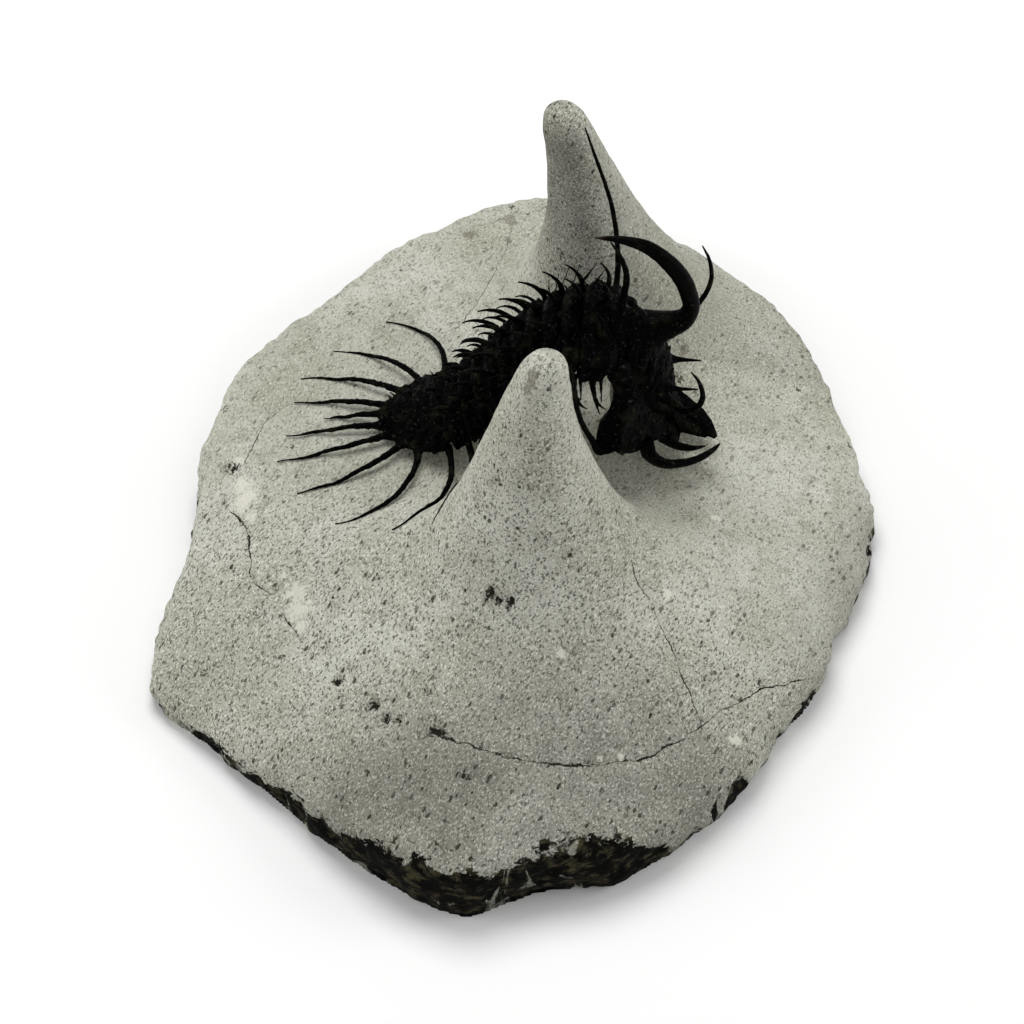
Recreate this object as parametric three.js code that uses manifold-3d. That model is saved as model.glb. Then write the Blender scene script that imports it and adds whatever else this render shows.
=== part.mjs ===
// Fossil trilobite, arched over its own stone between two stone pillars.
// Millimetres, +Z up.  The flat underside of the stone lies on Z = 0 and the origin is the
// middle of its bounding box.  The stone is longest along Y; the trilobite's head points to +X.
import * as THREE from "three";
import { mergeVertices } from "three/addons/utils/BufferGeometryUtils.js";
import Module from "manifold-3d";

const wasm = await Module();
wasm.setup();

// ---------- driving sizes ----------
const STONE_LENGTH = 127;
const STONE_WIDTH = 106;
const DOME_TOP = 16.2;
const DOME_ROUNDNESS = 2.9;
const PILLAR_SIDES = 16;

const BODY_AT = [6, 10.7];
const BODY_TURN = THREE.MathUtils.degToRad(-6.5);
const SEGMENTS = 11;
const TAIL_SHIELD = 9.6;
const THORAX = 35.6;
const SHELL = 1.2;
const HEAD_SHELL = 1.5;
const GAP = 0.3;
const THORAX_LOBES = 0.9;
const HEAD_LOBES = 1.5;
const NEAR_CLEARANCE = 1;
const FAR_CLEARANCE = 1.7;
const SPINE_TIP = 0.13;

// ---------- materials ----------
const stone = new THREE.MeshStandardMaterial({ color: 0xb4b4a8, roughness: 0.9, metalness: 0 });
const fossil = new THREE.MeshStandardMaterial({ color: 0x15140f, roughness: 0.6, metalness: 0 });

// ---------- small helpers ----------
const mix = THREE.MathUtils.lerp;

// Height of a line through [position, value] points, level beyond both ends.
function along(points, at, column = 1) {
  const next = points.findIndex((p) => p[0] >= at);
  if (next === 0) return points[0][column];
  if (next < 0) return points[points.length - 1][column];
  const [before, after] = [points[next - 1], points[next]];
  return mix(before[column], after[column], (at - before[0]) / (after[0] - before[0]));
}

// Moves every corner of a geometry to the place fn gives it.
function warp(geometry, fn) {
  const spots = geometry.attributes.position;
  const corner = new THREE.Vector3();
  for (let i = 0; i < spots.count; i++) {
    corner.fromBufferAttribute(spots, i);
    const moved = fn(corner);
    spots.setXYZ(i, moved.x, moved.y, moved.z);
  }
  return geometry;
}

// A closed body facing out, from a geometry whose faces may point either way.
function solid(geometry) {
  geometry.deleteAttribute("normal");
  geometry.deleteAttribute("uv");
  const merged = mergeVertices(geometry, 1e-4);
  const faces = [];
  for (let i = 0; i < merged.index.count; i += 3) {
    const [a, b, c] = merged.index.array.slice(i, i + 3);
    if (a !== b && b !== c && c !== a) faces.push(a, b, c);
  }
  const make = () =>
    new wasm.Manifold(
      new wasm.Mesh({
        numProp: 3,
        vertProperties: new Float32Array(merged.attributes.position.array),
        triVerts: new Uint32Array(faces),
      }),
    );
  const body = make();
  if (body.volume() > 0) return body;
  faces.reverse();
  return make();
}

const joined = (bodies) => bodies.reduce((whole, body) => whole.add(body));

// Place of a point in the trilobite's own lengthwise, sideways and upward measures.
function place(lengthwise, sideways, height) {
  const at = new THREE.Vector3(lengthwise, sideways, height);
  at.applyAxisAngle(new THREE.Vector3(0, 0, 1), BODY_TURN);
  return at.add(new THREE.Vector3(BODY_AT[0], BODY_AT[1], 0));
}

// A tapering spine through points of [lengthwise, sideways, height, radius].  A blade is wide
// times as broad as it is thick, and rolled about its own length.
function spine(points, { sides = 5, steps = 4, grow = 0, wide = 1, roll = 0 } = {}) {
  const curve = new THREE.CatmullRomCurve3(
    points.map((p) => place(p[0], p[1], p[2])),
    false,
    "centripetal",
  );
  const widths = points.map((p, i) => [i / (points.length - 1), p[3]]);
  const rod = new THREE.CylinderGeometry(1, 1, 1, sides, steps);
  const level = new THREE.Vector3(0.31, 0.17, 0.94).normalize();
  return solid(
    warp(rod, (c) => {
      const t = THREE.MathUtils.clamp(c.y + 0.5, 0, 1);
      const tangent = curve.getTangent(t);
      const across = new THREE.Vector3().crossVectors(tangent, level).normalize();
      const above = new THREE.Vector3().crossVectors(across, tangent);
      const radius = along(widths, t);
      const broad = c.x * (radius * wide + grow);
      const thick = c.z * (radius + grow);
      return curve
        .getPoint(t)
        .addScaledVector(across, broad * Math.cos(roll) - thick * Math.sin(roll))
        .addScaledVector(above, broad * Math.sin(roll) + thick * Math.cos(roll));
    }),
  );
}

// ---------- the stone's outline, as [x, y, height of the broken edge] ----------
const OUTLINE = [
  [53, 3, 5.5],
  [51.3, -4, 5],
  [48.2, -10.5, 5],
  [45.5, -17, 5],
  [43.6, -22.8, 5.5],
  [39.5, -28, 5],
  [36.7, -33, 5.5],
  [33.7, -38, 5.5],
  [29.5, -44, 6],
  [22.3, -51, 7],
  [13.3, -57.3, 8.5],
  [3, -59, 9.5],
  [-2, -61, 9.5],
  [-7.5, -63.5, 10],
  [-17.3, -58, 8.5],
  [-26.2, -51, 6.5],
  [-34.3, -43, 5],
  [-42.8, -34.8, 4],
  [-50.5, -28, 3.5],
  [-53, -21.5, 4],
  [-52, -12, 5],
  [-49.8, -2.8, 6],
  [-48.5, 7, 7],
  [-47.7, 15, 8],
  [-46, 22, 8.5],
  [-43.5, 29.5, 9],
  [-37, 37, 9.5],
  [-30, 43, 10],
  [-17, 55, 10.5],
  [-4.5, 62, 11],
  [4, 63.5, 11],
  [11, 62.5, 11],
  [19, 59, 11],
  [26.5, 52.5, 10.5],
  [33.5, 45.5, 9.5],
  [41, 36, 8.5],
  [45.5, 24.5, 7.5],
  [50.3, 12, 6.5],
];
const STONE_COLUMNS = OUTLINE.length + 16;
const smoothEdge = new THREE.CatmullRomCurve3(
  OUTLINE.map((p) => new THREE.Vector3(...p)),
  true,
  "centripetal",
);
const edge = smoothEdge.getSpacedPoints(STONE_COLUMNS).slice(0, STONE_COLUMNS);
const extent = new THREE.Box3().setFromPoints(edge);
for (const p of edge) {
  p.x = mix(-STONE_WIDTH / 2, STONE_WIDTH / 2, (p.x - extent.min.x) / (extent.max.x - extent.min.x));
  p.y = mix(-STONE_LENGTH / 2, STONE_LENGTH / 2, (p.y - extent.min.y) / (extent.max.y - extent.min.y));
}
const turnOf = (x, y) => (Math.atan2(y, x) + 4 * Math.PI) % (2 * Math.PI);
const rim = edge
  .map((p) => [turnOf(p.x, p.y), Math.hypot(p.x, p.y), p.z])
  .sort((a, b) => a[0] - b[0]);
const lastRim = rim[rim.length - 1];
const rimRound = [
  [lastRim[0] - 2 * Math.PI, lastRim[1], lastRim[2]],
  ...rim,
  [rim[0][0] + 2 * Math.PI, rim[0][1], rim[0][2]],
];

// Height of the domed top of the stone, without its pillars.
function ground(x, y) {
  const turn = turnOf(x, y);
  const out = Math.min(1, Math.hypot(x, y) / along(rimRound, turn, 1));
  const edgeHeight = along(rimRound, turn, 2);
  return mix(edgeHeight, DOME_TOP, 1 - out ** DOME_ROUNDNESS);
}

// Rings of the stone from the middle of its base, round its broken edge, to the dome's top:
// [share of the outline, share of the edge height, or null for the dome].
const RINGS = [
  [0, 0],
  [0.55, 0],
  [0.99, 0],
  [1, 0.4],
  [0.99, 0.85],
  [0.972, null],
  [0.91, null],
  [0.82, null],
  [0.7, null],
  [0.55, null],
  [0.36, null],
  [0.16, null],
  [0, null],
];

function dome() {
  const profile = RINGS.map((r, i) => new THREE.Vector2(r[0] === 0 ? 0 : 1, i));
  const lathe = new THREE.LatheGeometry(profile, STONE_COLUMNS);
  return solid(
    warp(lathe, (c) => {
      const [share, wall] = RINGS[Math.round(c.y)];
      const column = Math.round((turnOf(c.z, c.x) / (2 * Math.PI)) * STONE_COLUMNS) % STONE_COLUMNS;
      const [turn, radius, height] = rim[column];
      const x = share * radius * Math.cos(turn);
      const y = share * radius * Math.sin(turn);
      return new THREE.Vector3(x, y, wall === null ? ground(x, y) : wall * height);
    }),
  );
}

// ---------- the two pillars of stone ----------
// Each ring is [height, radius, x of its middle, y of its middle, share left on the far side].
const NEAR_PILLAR = [
  [9, 37, 2, -12, 0.52],
  [13, 31, 2, -12, 0.52],
  [16, 25, 2, -12, 0.52],
  [19, 19, 2, -12, 0.52],
  [23, 14.6, 2, -12, 0.6],
  [28, 11.3, 2.1, -12, 0.7],
  [34, 8.9, 2.1, -12, 0.82],
  [40, 7, 2.3, -12, 0.92],
  [46, 5.3, 2.8, -12, 1],
  [51, 4.1, 3.4, -12, 1],
  [54.8, 3.2, 3.8, -12, 1],
  [56.6, 2, 3.9, -12, 1],
  [57.2, 0, 3.9, -12, 1],
];
const REAR_PILLAR = [
  [7, 25, 12.6, 35.4, 1],
  [11, 21, 12.9, 35.8, 1],
  [15, 17.2, 13.1, 36, 1],
  [20, 13.8, 13.2, 36, 1],
  [26, 10.8, 12.8, 36, 1],
  [32, 8.1, 11.7, 35.8, 1],
  [38, 5.9, 10.4, 35.7, 1],
  [44, 4.5, 9.2, 35.6, 1],
  [49.5, 3.5, 8, 35.5, 1],
  [54, 2.9, 6.9, 35.5, 1],
  [56.3, 1.9, 6.4, 35.5, 1],
  [57, 0, 6.3, 35.5, 1],
];

function pillar(rings) {
  const foot = new THREE.Vector2(0, rings[0][0]);
  const profile = [foot, ...rings.map((r) => new THREE.Vector2(r[1], r[0]))];
  const lathe = new THREE.LatheGeometry(profile, PILLAR_SIDES);
  return solid(
    warp(lathe, (c) => {
      const far = c.z > 0 ? along(rings, c.y, 4) : 1;
      return new THREE.Vector3(
        along(rings, c.y, 2) + c.x,
        along(rings, c.y, 3) + c.z * far,
        c.y,
      );
    }),
  );
}

// Height of the stone where the tail's spines lie: the dome or the near pillar's foot.
function surface(x, y) {
  const [, , middleX, middleY, far] = NEAR_PILLAR[0];
  const across = y > middleY ? (y - middleY) / far : middleY - y;
  const foot = NEAR_PILLAR.map((r) => [r[1], r[0]]).reverse();
  return Math.max(ground(x, y), along(foot, Math.hypot(x - middleX, across)));
}

// ---------- the arched body ----------
// Top line of the body from the tail's end over the arch to the front of the head,
// as [lengthwise, height].
const TOP_LINE = [
  [-27.2, 16.6],
  [-22.5, 19.4],
  [-18, 21.9],
  [-12.4, 28.8],
  [-7, 36.4],
  [-1, 42.2],
  [5.2, 44.6],
  [10.6, 43],
  [13.9, 38.9],
  [15.8, 34],
  [17.2, 28],
  [18.8, 20.5],
];
const topLine = new THREE.CatmullRomCurve3(
  TOP_LINE.map((p) => new THREE.Vector3(p[0], 0, p[1])),
  false,
  "centripetal",
);
const BODY = topLine.getLength();
const NECK = TAIL_SHIELD + THORAX;

// Shape of the arched section, as [distance along the top line, half-width, depth, share of
// the top line's lean that the section follows].
const SECTION = [
  [0, 1, 1, 0.8],
  [1, 2.6, 1.6, 0.8],
  [2.6, 4.6, 2.3, 0.8],
  [5, 6.4, 3, 0.75],
  [TAIL_SHIELD, 7.6, 3.9, 0.7],
  [15, 7.8, 5.4, 0.65],
  [24, 7.8, 6.6, 0.6],
  [34, 7.8, 6.8, 0.6],
  [NECK, 8.2, 7.4, 0],
  [NECK + 0.1, 11.6, 17.8, -0.2],
  [NECK + 3, 12.4, 17.4, 0.05],
  [NECK + 7, 12.2, 15.6, 0.2],
  [NECK + 12, 11, 12.6, 0.3],
  [NECK + 17, 9, 9.6, 0.3],
  [NECK + 21.5, 6.6, 6, 0.3],
  [BODY, 4, 3.2, 0.3],
];

// The body's own directions at a distance along it.
function station(distance) {
  const t = THREE.MathUtils.clamp(distance / BODY, 0, 1);
  const at = topLine.getPointAt(t);
  const forward = topLine.getTangentAt(t);
  const slope = Math.atan2(forward.z, forward.x);
  const lean = Math.PI / 2 + slope * along(SECTION, distance, 3);
  const up = new THREE.Vector3(Math.cos(lean), 0, Math.sin(lean));
  return { at, forward, slope, up };
}

// A point of the body: distance along, turn round the section (0 on top, +-1 at the edges)
// and depth under the outer face.  Thorax and tail are round in section, the head a steep roof.
function onBody(distance, turn, depth) {
  const { at, up } = station(distance);
  const inHead = distance > NECK;
  const half = along(SECTION, distance, 1);
  const deep = along(SECTION, distance, 2);
  const angle = (turn * Math.PI) / 2;
  const arch = inHead ? 1 - Math.abs(Math.sin(angle)) ** 1.35 : Math.cos(angle);
  const lobes = (inHead ? HEAD_LOBES : THORAX_LOBES) * (Math.abs(Math.cos(2.25 * angle)) - 1);
  const rise = (deep - depth + lobes) * arch - deep;
  const side = (half - depth + lobes) * Math.sin(angle);
  return [at.x + up.x * rise, side, at.z + up.z * rise];
}

// A shell over the body between two distances, its rear edge lifted.
function shell(from, to, { across = 12, lengths = 1, deep = SHELL, lift = 0 } = {}) {
  const box = new THREE.BoxGeometry(1, 1, 1, lengths, across, 1);
  return solid(
    warp(box, (c) => {
      const t = c.x + 0.5;
      const turn = c.y * 2;
      const raised = lift * (1 - t);
      const depth = c.z > 0 ? -raised : deep - raised;
      return place(...onBody(mix(from, to, t), turn, depth));
    }),
  );
}

// A spine that starts off along one direction and curls to another; directions are
// [lengthwise, sideways, height].
function curl(root, start, end, length, radius, options) {
  const a = new THREE.Vector3(...start).normalize();
  const b = new THREE.Vector3(...end).normalize();
  const base = new THREE.Vector3(...root);
  const points = [0, 0.35, 0.7, 1].map((t) => {
    const p = base.clone().addScaledVector(a, length * (t - t * t * 0.5));
    p.addScaledVector(b, length * t * t * 0.5);
    return [p.x, p.y, p.z, Math.max(SPINE_TIP, radius * (1 - t) ** 0.7)];
  });
  return spine(points, options);
}

// A spine of the tail's edge, lying just over the stone.  Its heading turns evenly from
// start to end, in degrees out from straight back.
function edgeSpine(root, side, length, start, end, grow) {
  const steps = 5;
  const at = [root[0], root[1]];
  const points = [];
  for (let i = 0; i <= steps; i++) {
    const t = i / steps;
    const foot = place(at[0], at[1], 0);
    const resting = surface(foot.x, foot.y) + (side < 0 ? NEAR_CLEARANCE : FAR_CLEARANCE);
    const height = mix(root[2], resting, Math.min(1, t * 1.5));
    points.push([at[0], at[1], height, Math.max(SPINE_TIP, 0.6 * (1 - t) ** 0.6)]);
    const heading = THREE.MathUtils.degToRad(mix(start, end, t + 0.5 / steps));
    at[0] -= (Math.cos(heading) * length) / steps;
    at[1] += (side * Math.sin(heading) * length) / steps;
  }
  return spine(points, { sides: 5, steps, grow });
}

// ---------- thorax ----------
// The last two segments' near spines are long and lie over the stone:
// [segment, length, heading at the root, heading at the tip].
const LONG_EDGE_SPINES = [
  [10, 16, 112, 58],
  [11, 19, 114, 24],
];
const PITCH = THORAX / SEGMENTS;
const middleOf = (number) => NECK - (number - 0.5) * PITCH;

function longEdgeSpine([number, length, start, end], grow) {
  const root = onBody(middleOf(number), -0.94, 0.5);
  return edgeSpine(root, -1, length, start, end, grow);
}

function thoraxSegment(number) {
  const middle = middleOf(number);
  const reach = (PITCH - GAP) / 2;
  const { slope } = station(middle);
  const upright = [-Math.sin(slope * 0.5), 0, Math.cos(slope * 0.5)];
  const length = along([[1, 7.6], [7, 7.2], [9, 5.6], [11, 4.4]], number);
  const parts = [
    shell(middle - reach, middle + reach, { lift: 0.55 }),
    curl(onBody(middle, 0, 0.7), upright, [-1, 0, 0.25], length, 0.7, { steps: 3 }),
  ];
  const long = LONG_EDGE_SPINES.find((s) => s[0] === number);
  for (const side of [-1, 1]) {
    const small = curl(
      onBody(middle, side * 0.48, 0.6),
      [upright[0], side * 0.8, upright[2]],
      [-0.9, side * 0.5, 0.5],
      4.8,
      0.5,
      { sides: 4, steps: 2 },
    );
    const edgeward = curl(
      onBody(middle, side * 0.94, 0.5),
      [0.1, side, -0.35],
      [along([[8, -0.6], [11, 0.2]], number), side * 0.8, -0.5],
      along([[8, 7], [9, 5], [11, 3.6]], number),
      0.5,
      { sides: 4, steps: 3 },
    );
    parts.push(small, side < 0 && long ? longEdgeSpine(long, 0) : edgeward);
  }
  return joined(parts);
}

// ---------- tail shield ----------
// Pairs of spines of the tail's edge: [distance along on the near side, the same on the far
// side, turn, length, heading at the root, heading at the tip].
const TAIL_SPINES = [
  [1, 1.3, 0.7, 14.4, 8, 3],
  [2.4, 3.3, 0.8, 17, 27, 2],
  [4.5, 6, 0.86, 17.4, 54, 6],
  [7.2, 8.9, 0.94, 19, 97, 9],
];
const TAIL_POINT = 9;

function tailShield() {
  const parts = [shell(0.2, TAIL_SHIELD - GAP / 2, { lengths: 5 })];
  for (const side of [-1, 1]) {
    for (const [near, far, turn, length, start, end] of TAIL_SPINES) {
      const root = onBody(side < 0 ? near : far, turn * side, 0.4);
      parts.push(edgeSpine(root, side, length, start, end, 0));
    }
  }
  parts.push(edgeSpine(onBody(1, 0, 0.7), 1, TAIL_POINT, 0, 0, 0));
  return joined(parts);
}

// ---------- head ----------
const HORN = [
  [11.4, 0, 38.8, 3.2],
  [14.6, 0, 40.3, 2.6],
  [17.3, 0, 42.3, 1.5],
  [18.1, 0, 45, 1.2],
  [17.6, 0, 48, 1.25],
  [16.6, 0, 50.7, 1.25],
  [15.1, 0, 53, 1.2],
  [13.3, 0, 55, 1.05],
  [11.2, 0, 56.5, 0.9],
  [8.9, 0, 57.2, 0.7],
  [6.6, 0, 57.4, 0.4],
  [4.4, 0, 57.2, SPINE_TIP],
];
const NECK_SPINE = [
  [7.9, 0, 42.2, 1.1],
  [8.5, 0, 46.5, 0.85],
  [8.7, 0, 50.5, 0.7],
  [7.9, 0, 54, 0.45],
  [6.6, 0, 56.6, SPINE_TIP],
];
const CHEEK_SPINE = [
  [8.6, 10.4, 27.6, 1.3],
  [7, 11.8, 26.6, 1],
  [6.5, 13.1, 30.6, 0.7],
  [6.6, 15.6, 37, 0.62],
  [5.5, 18.8, 43.5, 0.55],
  [2.8, 22, 49.5, 0.42],
  [0.2, 24.2, 54, SPINE_TIP],
];
const FAR_BROW_HOOK = [
  [13.6, 2.6, 37.4, 0.9],
  [17.2, 4.8, 38.2, 0.6],
  [19.7, 5.8, 41.6, 0.55],
  [20.5, 6, 45, 0.5],
  [20, 6, 48.8, 0.35],
  [19, 6, 51.2, SPINE_TIP],
];
const NEAR_BROW_HOOK = [
  [13.6, -4.6, 28.6, 0.9],
  [17.4, -5.8, 28.4, 0.6],
  [19.8, -6, 30.2, 0.5],
  [20.7, -6, 33.1, 0.45],
  [20.1, -6, 36.2, 0.3],
  [18.9, -6, 38.2, SPINE_TIP],
];
const BROW_SPINE = [
  [14.4, 2.4, 31.2, 0.9],
  [16.6, 2.8, 31, 0.45],
  [19.5, 2.8, 31.2, SPINE_TIP],
];
// The outer and inner blades of the fork in front of the head; the outer ones lean like a
// scoop, their outer edges high.
const NEAR_OUTER_BLADE = [
  [12.8, -6.8, 24, 0.8],
  [13.8, -7.3, 21.2, 0.8],
  [15.8, -6.9, 19.3, 0.8],
  [18.2, -5.9, 18.5, 0.72],
  [20.6, -4.3, 18, 0.6],
  [22.4, -2.2, 17.6, 0.4],
  [23.4, -0.6, 17.4, SPINE_TIP],
];
const FAR_OUTER_BLADE = [
  [12.8, 6.8, 24, 0.8],
  [13.6, 7, 21.4, 0.8],
  [14.8, 6.2, 19.6, 0.8],
  [17, 5.2, 18.5, 0.72],
  [19.4, 3.8, 18, 0.6],
  [21.4, 2, 17.6, 0.4],
  [22.8, 0.6, 17.4, SPINE_TIP],
];
const INNER_BLADE = [
  [16.4, 2, 18.4, 0.8],
  [18.2, 2, 17.8, 0.6],
  [19.8, 1.7, 17.3, 0.45],
  [21.4, 0.9, 17, SPINE_TIP],
];
const BLADE_LEAN = THREE.MathUtils.degToRad(-48);
const EYE_AT = [8.9, 6.2, 36.8];
const EYE_SIZE = [2, 1.6, 3];

function eye(side) {
  const lobe = new THREE.SphereGeometry(1, 8, 5);
  return solid(
    warp(lobe, (c) =>
      place(
        EYE_AT[0] + c.x * EYE_SIZE[0],
        side * EYE_AT[1] + c.z * EYE_SIZE[1],
        EYE_AT[2] + c.y * EYE_SIZE[2],
      ),
    ),
  );
}

const onSide = (points, side) => points.map(([a, b, c, d]) => [a, side * b, c, d]);
const cheekSpine = (side, grow) => spine(onSide(CHEEK_SPINE, side), { steps: 7, grow });

function head() {
  const parts = [
    shell(NECK + GAP / 2, BODY, { lengths: 9, deep: HEAD_SHELL }),
    spine(HORN, { sides: 6, steps: 11 }),
    spine(NECK_SPINE),
    spine(FAR_BROW_HOOK, { steps: 6 }),
    spine(NEAR_BROW_HOOK, { steps: 6 }),
  ];
  for (const side of [-1, 1]) {
    const blade = { sides: 6, wide: 2, roll: side * BLADE_LEAN };
    parts.push(
      cheekSpine(side, 0),
      spine(onSide(BROW_SPINE, side), { sides: 4, steps: 2 }),
      spine(side < 0 ? NEAR_OUTER_BLADE : FAR_OUTER_BLADE, { ...blade, steps: 5 }),
      spine(onSide(INNER_BLADE, side), { ...blade, steps: 3 }),
      eye(side),
    );
  }
  return joined(parts);
}

// ---------- assembly ----------
const root = new THREE.Group();
root.name = "fossil_trilobite";

function add(name, body, material) {
  const { vertProperties, triVerts } = body.getMesh();
  const geometry = new THREE.BufferGeometry();
  geometry.setAttribute("position", new THREE.BufferAttribute(new Float32Array(vertProperties), 3));
  geometry.setIndex(new THREE.BufferAttribute(new Uint32Array(triVerts), 1));
  geometry.computeVertexNormals();
  const mesh = new THREE.Mesh(geometry, material.clone());
  mesh.name = name;
  root.add(mesh);
}

// Stone inside the hollow of the shell, which carries the arch: [distance, depth under the
// shell's face, how far it hangs below the shell's edges].
const CORE = [
  [3.6, SHELL + 0.5, 4],
  [TAIL_SHIELD, SHELL + 0.5, 5],
  [16, SHELL + 0.4, 5],
  [22, SHELL + 0.4, 0.2],
  [NECK - 0.5, SHELL + 0.4, 0],
  [NECK + 1, 6.5, -2],
  [NECK + 12, 6.5, 0],
];

function core() {
  const box = new THREE.BoxGeometry(1, 1, 1, 14, 6, 1);
  return solid(
    warp(box, (c) => {
      const distance = mix(CORE[0][0], CORE[CORE.length - 1][0], c.x + 0.5);
      const top = onBody(distance, c.y * 2, along(CORE, distance, 1));
      if (c.z > 0) return place(...top);
      const { at, up } = station(distance);
      const rise = -along(SECTION, distance, 2) - along(CORE, distance, 2);
      return place(at.x + up.x * rise, top[1] * 0.98, at.z + up.z * rise);
    }),
  );
}

// Short neck of stone between the dome and the hollow of the head.
function headRest() {
  const post = new THREE.CylinderGeometry(3.4, 4.4, 1, 8, 1);
  return solid(warp(post, (c) => place(10.5 + c.x * 0.8, 2 + c.z, c.y < 0 ? 12 : 30)));
}

for (let i = 1; i <= SEGMENTS; i++) {
  add("thorax_segment_" + String(i).padStart(2, "0"), thoraxSegment(i), fossil);
}
add("pygidium", tailShield(), fossil);
add("cephalon", head(), fossil);
let block = joined([dome(), pillar(NEAR_PILLAR), pillar(REAR_PILLAR), core(), headRest()]);
for (const side of [-1, 1]) block = block.subtract(cheekSpine(side, GAP));
for (const one of LONG_EDGE_SPINES) block = block.subtract(longEdgeSpine(one, GAP));
add("matrix", block, stone);

export default root;
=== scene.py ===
"""A black, spiny trilobite arched over its own block of limestone.

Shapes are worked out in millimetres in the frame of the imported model: +Z up, the stone longest
along Y, the animal's head towards +X.  Every piece is turned to metres as it is finished.
"""

import functools
import itertools
import math

import bmesh
import bpy
import numpy as np
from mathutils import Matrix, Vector


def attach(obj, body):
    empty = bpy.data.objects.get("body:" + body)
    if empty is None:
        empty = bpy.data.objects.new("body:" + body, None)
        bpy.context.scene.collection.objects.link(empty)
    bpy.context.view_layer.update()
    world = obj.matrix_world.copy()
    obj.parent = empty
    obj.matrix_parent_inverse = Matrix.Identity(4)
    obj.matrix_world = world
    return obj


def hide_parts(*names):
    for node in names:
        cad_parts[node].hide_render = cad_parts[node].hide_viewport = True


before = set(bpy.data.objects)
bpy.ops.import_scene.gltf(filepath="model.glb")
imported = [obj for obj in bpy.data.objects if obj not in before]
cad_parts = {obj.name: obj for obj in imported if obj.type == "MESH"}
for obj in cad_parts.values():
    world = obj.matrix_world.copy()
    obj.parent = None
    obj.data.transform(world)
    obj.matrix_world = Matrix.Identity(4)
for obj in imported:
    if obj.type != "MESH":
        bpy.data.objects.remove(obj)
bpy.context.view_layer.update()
MM = 0.001

# ---------- the animal's measures, in millimetres ----------
BODY_AT = (6.0, 10.7)
BODY_TURN = math.radians(-6.5)
SEGMENTS = 11
TAIL_SHIELD = 9.6
THORAX = 35.6
NECK = TAIL_SHIELD + THORAX
PITCH = THORAX / SEGMENTS
SHELL = 1.2
HEAD_SHELL = 1.5
SPINE_TIP = 0.1
NEAR, FAR = -1, 1

# Top line of the body from the tail's end over the arch to the front of the head.
TOP_LINE = [
    (-27.2, 17), (-22.5, 19.8), (-18, 22.3), (-12.4, 29.3), (-7, 36.8), (-1, 42.4),
    (5.2, 44.3), (10.6, 42.9), (13.7, 38.9), (15.3, 34), (16.5, 28), (18.4, 20.5),
]

# Arched section of tail and thorax, then of the head: distance along the top line,
# half-width, depth, and the share of the line's lean that the section follows.
TRUNK = [
    (0, 1, 1, 0.8), (1, 2.6, 1.6, 0.8), (2.6, 4.6, 2.3, 0.8), (5, 6.4, 3, 0.75),
    (TAIL_SHIELD, 7.6, 3.9, 0.7), (15, 7.8, 5.4, 0.65), (24, 7.8, 6.6, 0.6),
    (34, 7.8, 6.8, 0.6), (NECK, 8.2, 7.4, 0),
]
HEAD = [
    (NECK, 11.6, 17.8, -0.2), (NECK + 3, 12.4, 17.4, 0.05), (NECK + 7, 12.2, 15.6, 0.2),
    (NECK + 12, 11, 12.6, 0.3), (NECK + 17, 8.4, 9.4, 0.3), (NECK + 21.5, 4.6, 5.6, 0.3),
    (NECK + 28.9, 1.5, 2.2, 0.3),
]
THORAX_LOBES = 0.9
HEAD_LOBES = 1.5
HEAD_ROOF = 1.35
LOBE_WAVE = 2.25

# ---------- the stone's measures, in millimetres ----------
DOME_TOP = 16.2
DOME_ROUNDNESS = 2.9

# The block's outline, as x, y and the height of its broken edge.
OUTLINE = [
    (52.4, 4, 5.5), (50.9, -4, 5), (48.9, -10.5, 5), (45.5, -17, 5), (44.5, -22.8, 5.5),
    (41.6, -28.4, 5), (37.6, -33, 5.5), (34.6, -38.4, 5.5), (30, -44.8, 6), (22.9, -52, 7),
    (13.7, -58.2, 8.5), (3.2, -60, 9.5), (-2.2, -62.2, 9.5), (-7.6, -64.1, 10), (-17.9, -58.9, 8.5),
    (-26.8, -51.9, 6.5), (-35, -43.9, 5), (-43.8, -35.6, 4), (-52.4, -27.4, 3.5), (-52.9, -20.5, 4),
    (-50.8, -12, 5), (-48.7, -2.8, 6), (-47.8, 7, 7), (-47.7, 15, 8), (-46, 22, 8.5),
    (-43.5, 29.5, 9), (-37, 37, 9.5), (-30.2, 43.4, 10), (-17.3, 55.4, 11.5),
    (-10.8, 58.4, 12.4), (-5, 61.6, 13), (4, 63.4, 13), (11, 62.5, 12.4), (19, 59.4, 12),
    (27.3, 53.6, 11.5), (35.7, 47.2, 10.5), (43.5, 37.9, 9.3), (47.8, 25.6, 8), (51.2, 12.3, 6.5),
]

# Rings of the two pillars: height, radius, x and y of the middle, share left on the far side.
NEAR_PILLAR = [
    (9, 37, 2, -12, 0.52), (13, 31, 2, -12, 0.52), (16, 25, 2, -12, 0.52),
    (19, 19, 2, -12, 0.52), (23, 14.6, 2, -12, 0.6), (28, 11.3, 2.1, -12, 0.7),
    (34, 8.8, 2, -12, 0.82), (40, 6.9, 1.9, -12, 0.92), (46, 5.2, 2.2, -12, 1),
    (51, 4.1, 2.8, -12, 1), (54.8, 3.3, 3.4, -12, 1), (56.8, 2.1, 3.7, -12, 1),
    (57.4, 0, 3.7, -12, 1),
]
REAR_PILLAR = [
    (7, 25, 12.6, 35.4, 1), (11, 21, 12.9, 35.8, 1), (15, 17.2, 13.1, 36, 1),
    (20, 13.8, 13.1, 36, 1), (26, 10.9, 12.7, 36, 1), (32, 8.5, 11.6, 35.9, 1),
    (38, 6.6, 10.5, 35.9, 1), (44, 5.3, 9.3, 35.9, 1), (49.5, 4.2, 7.9, 36, 1),
    (54.4, 3.4, 6.6, 36, 1), (56.9, 2.2, 6, 36, 1), (57.6, 0, 5.9, 36, 1),
]


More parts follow.
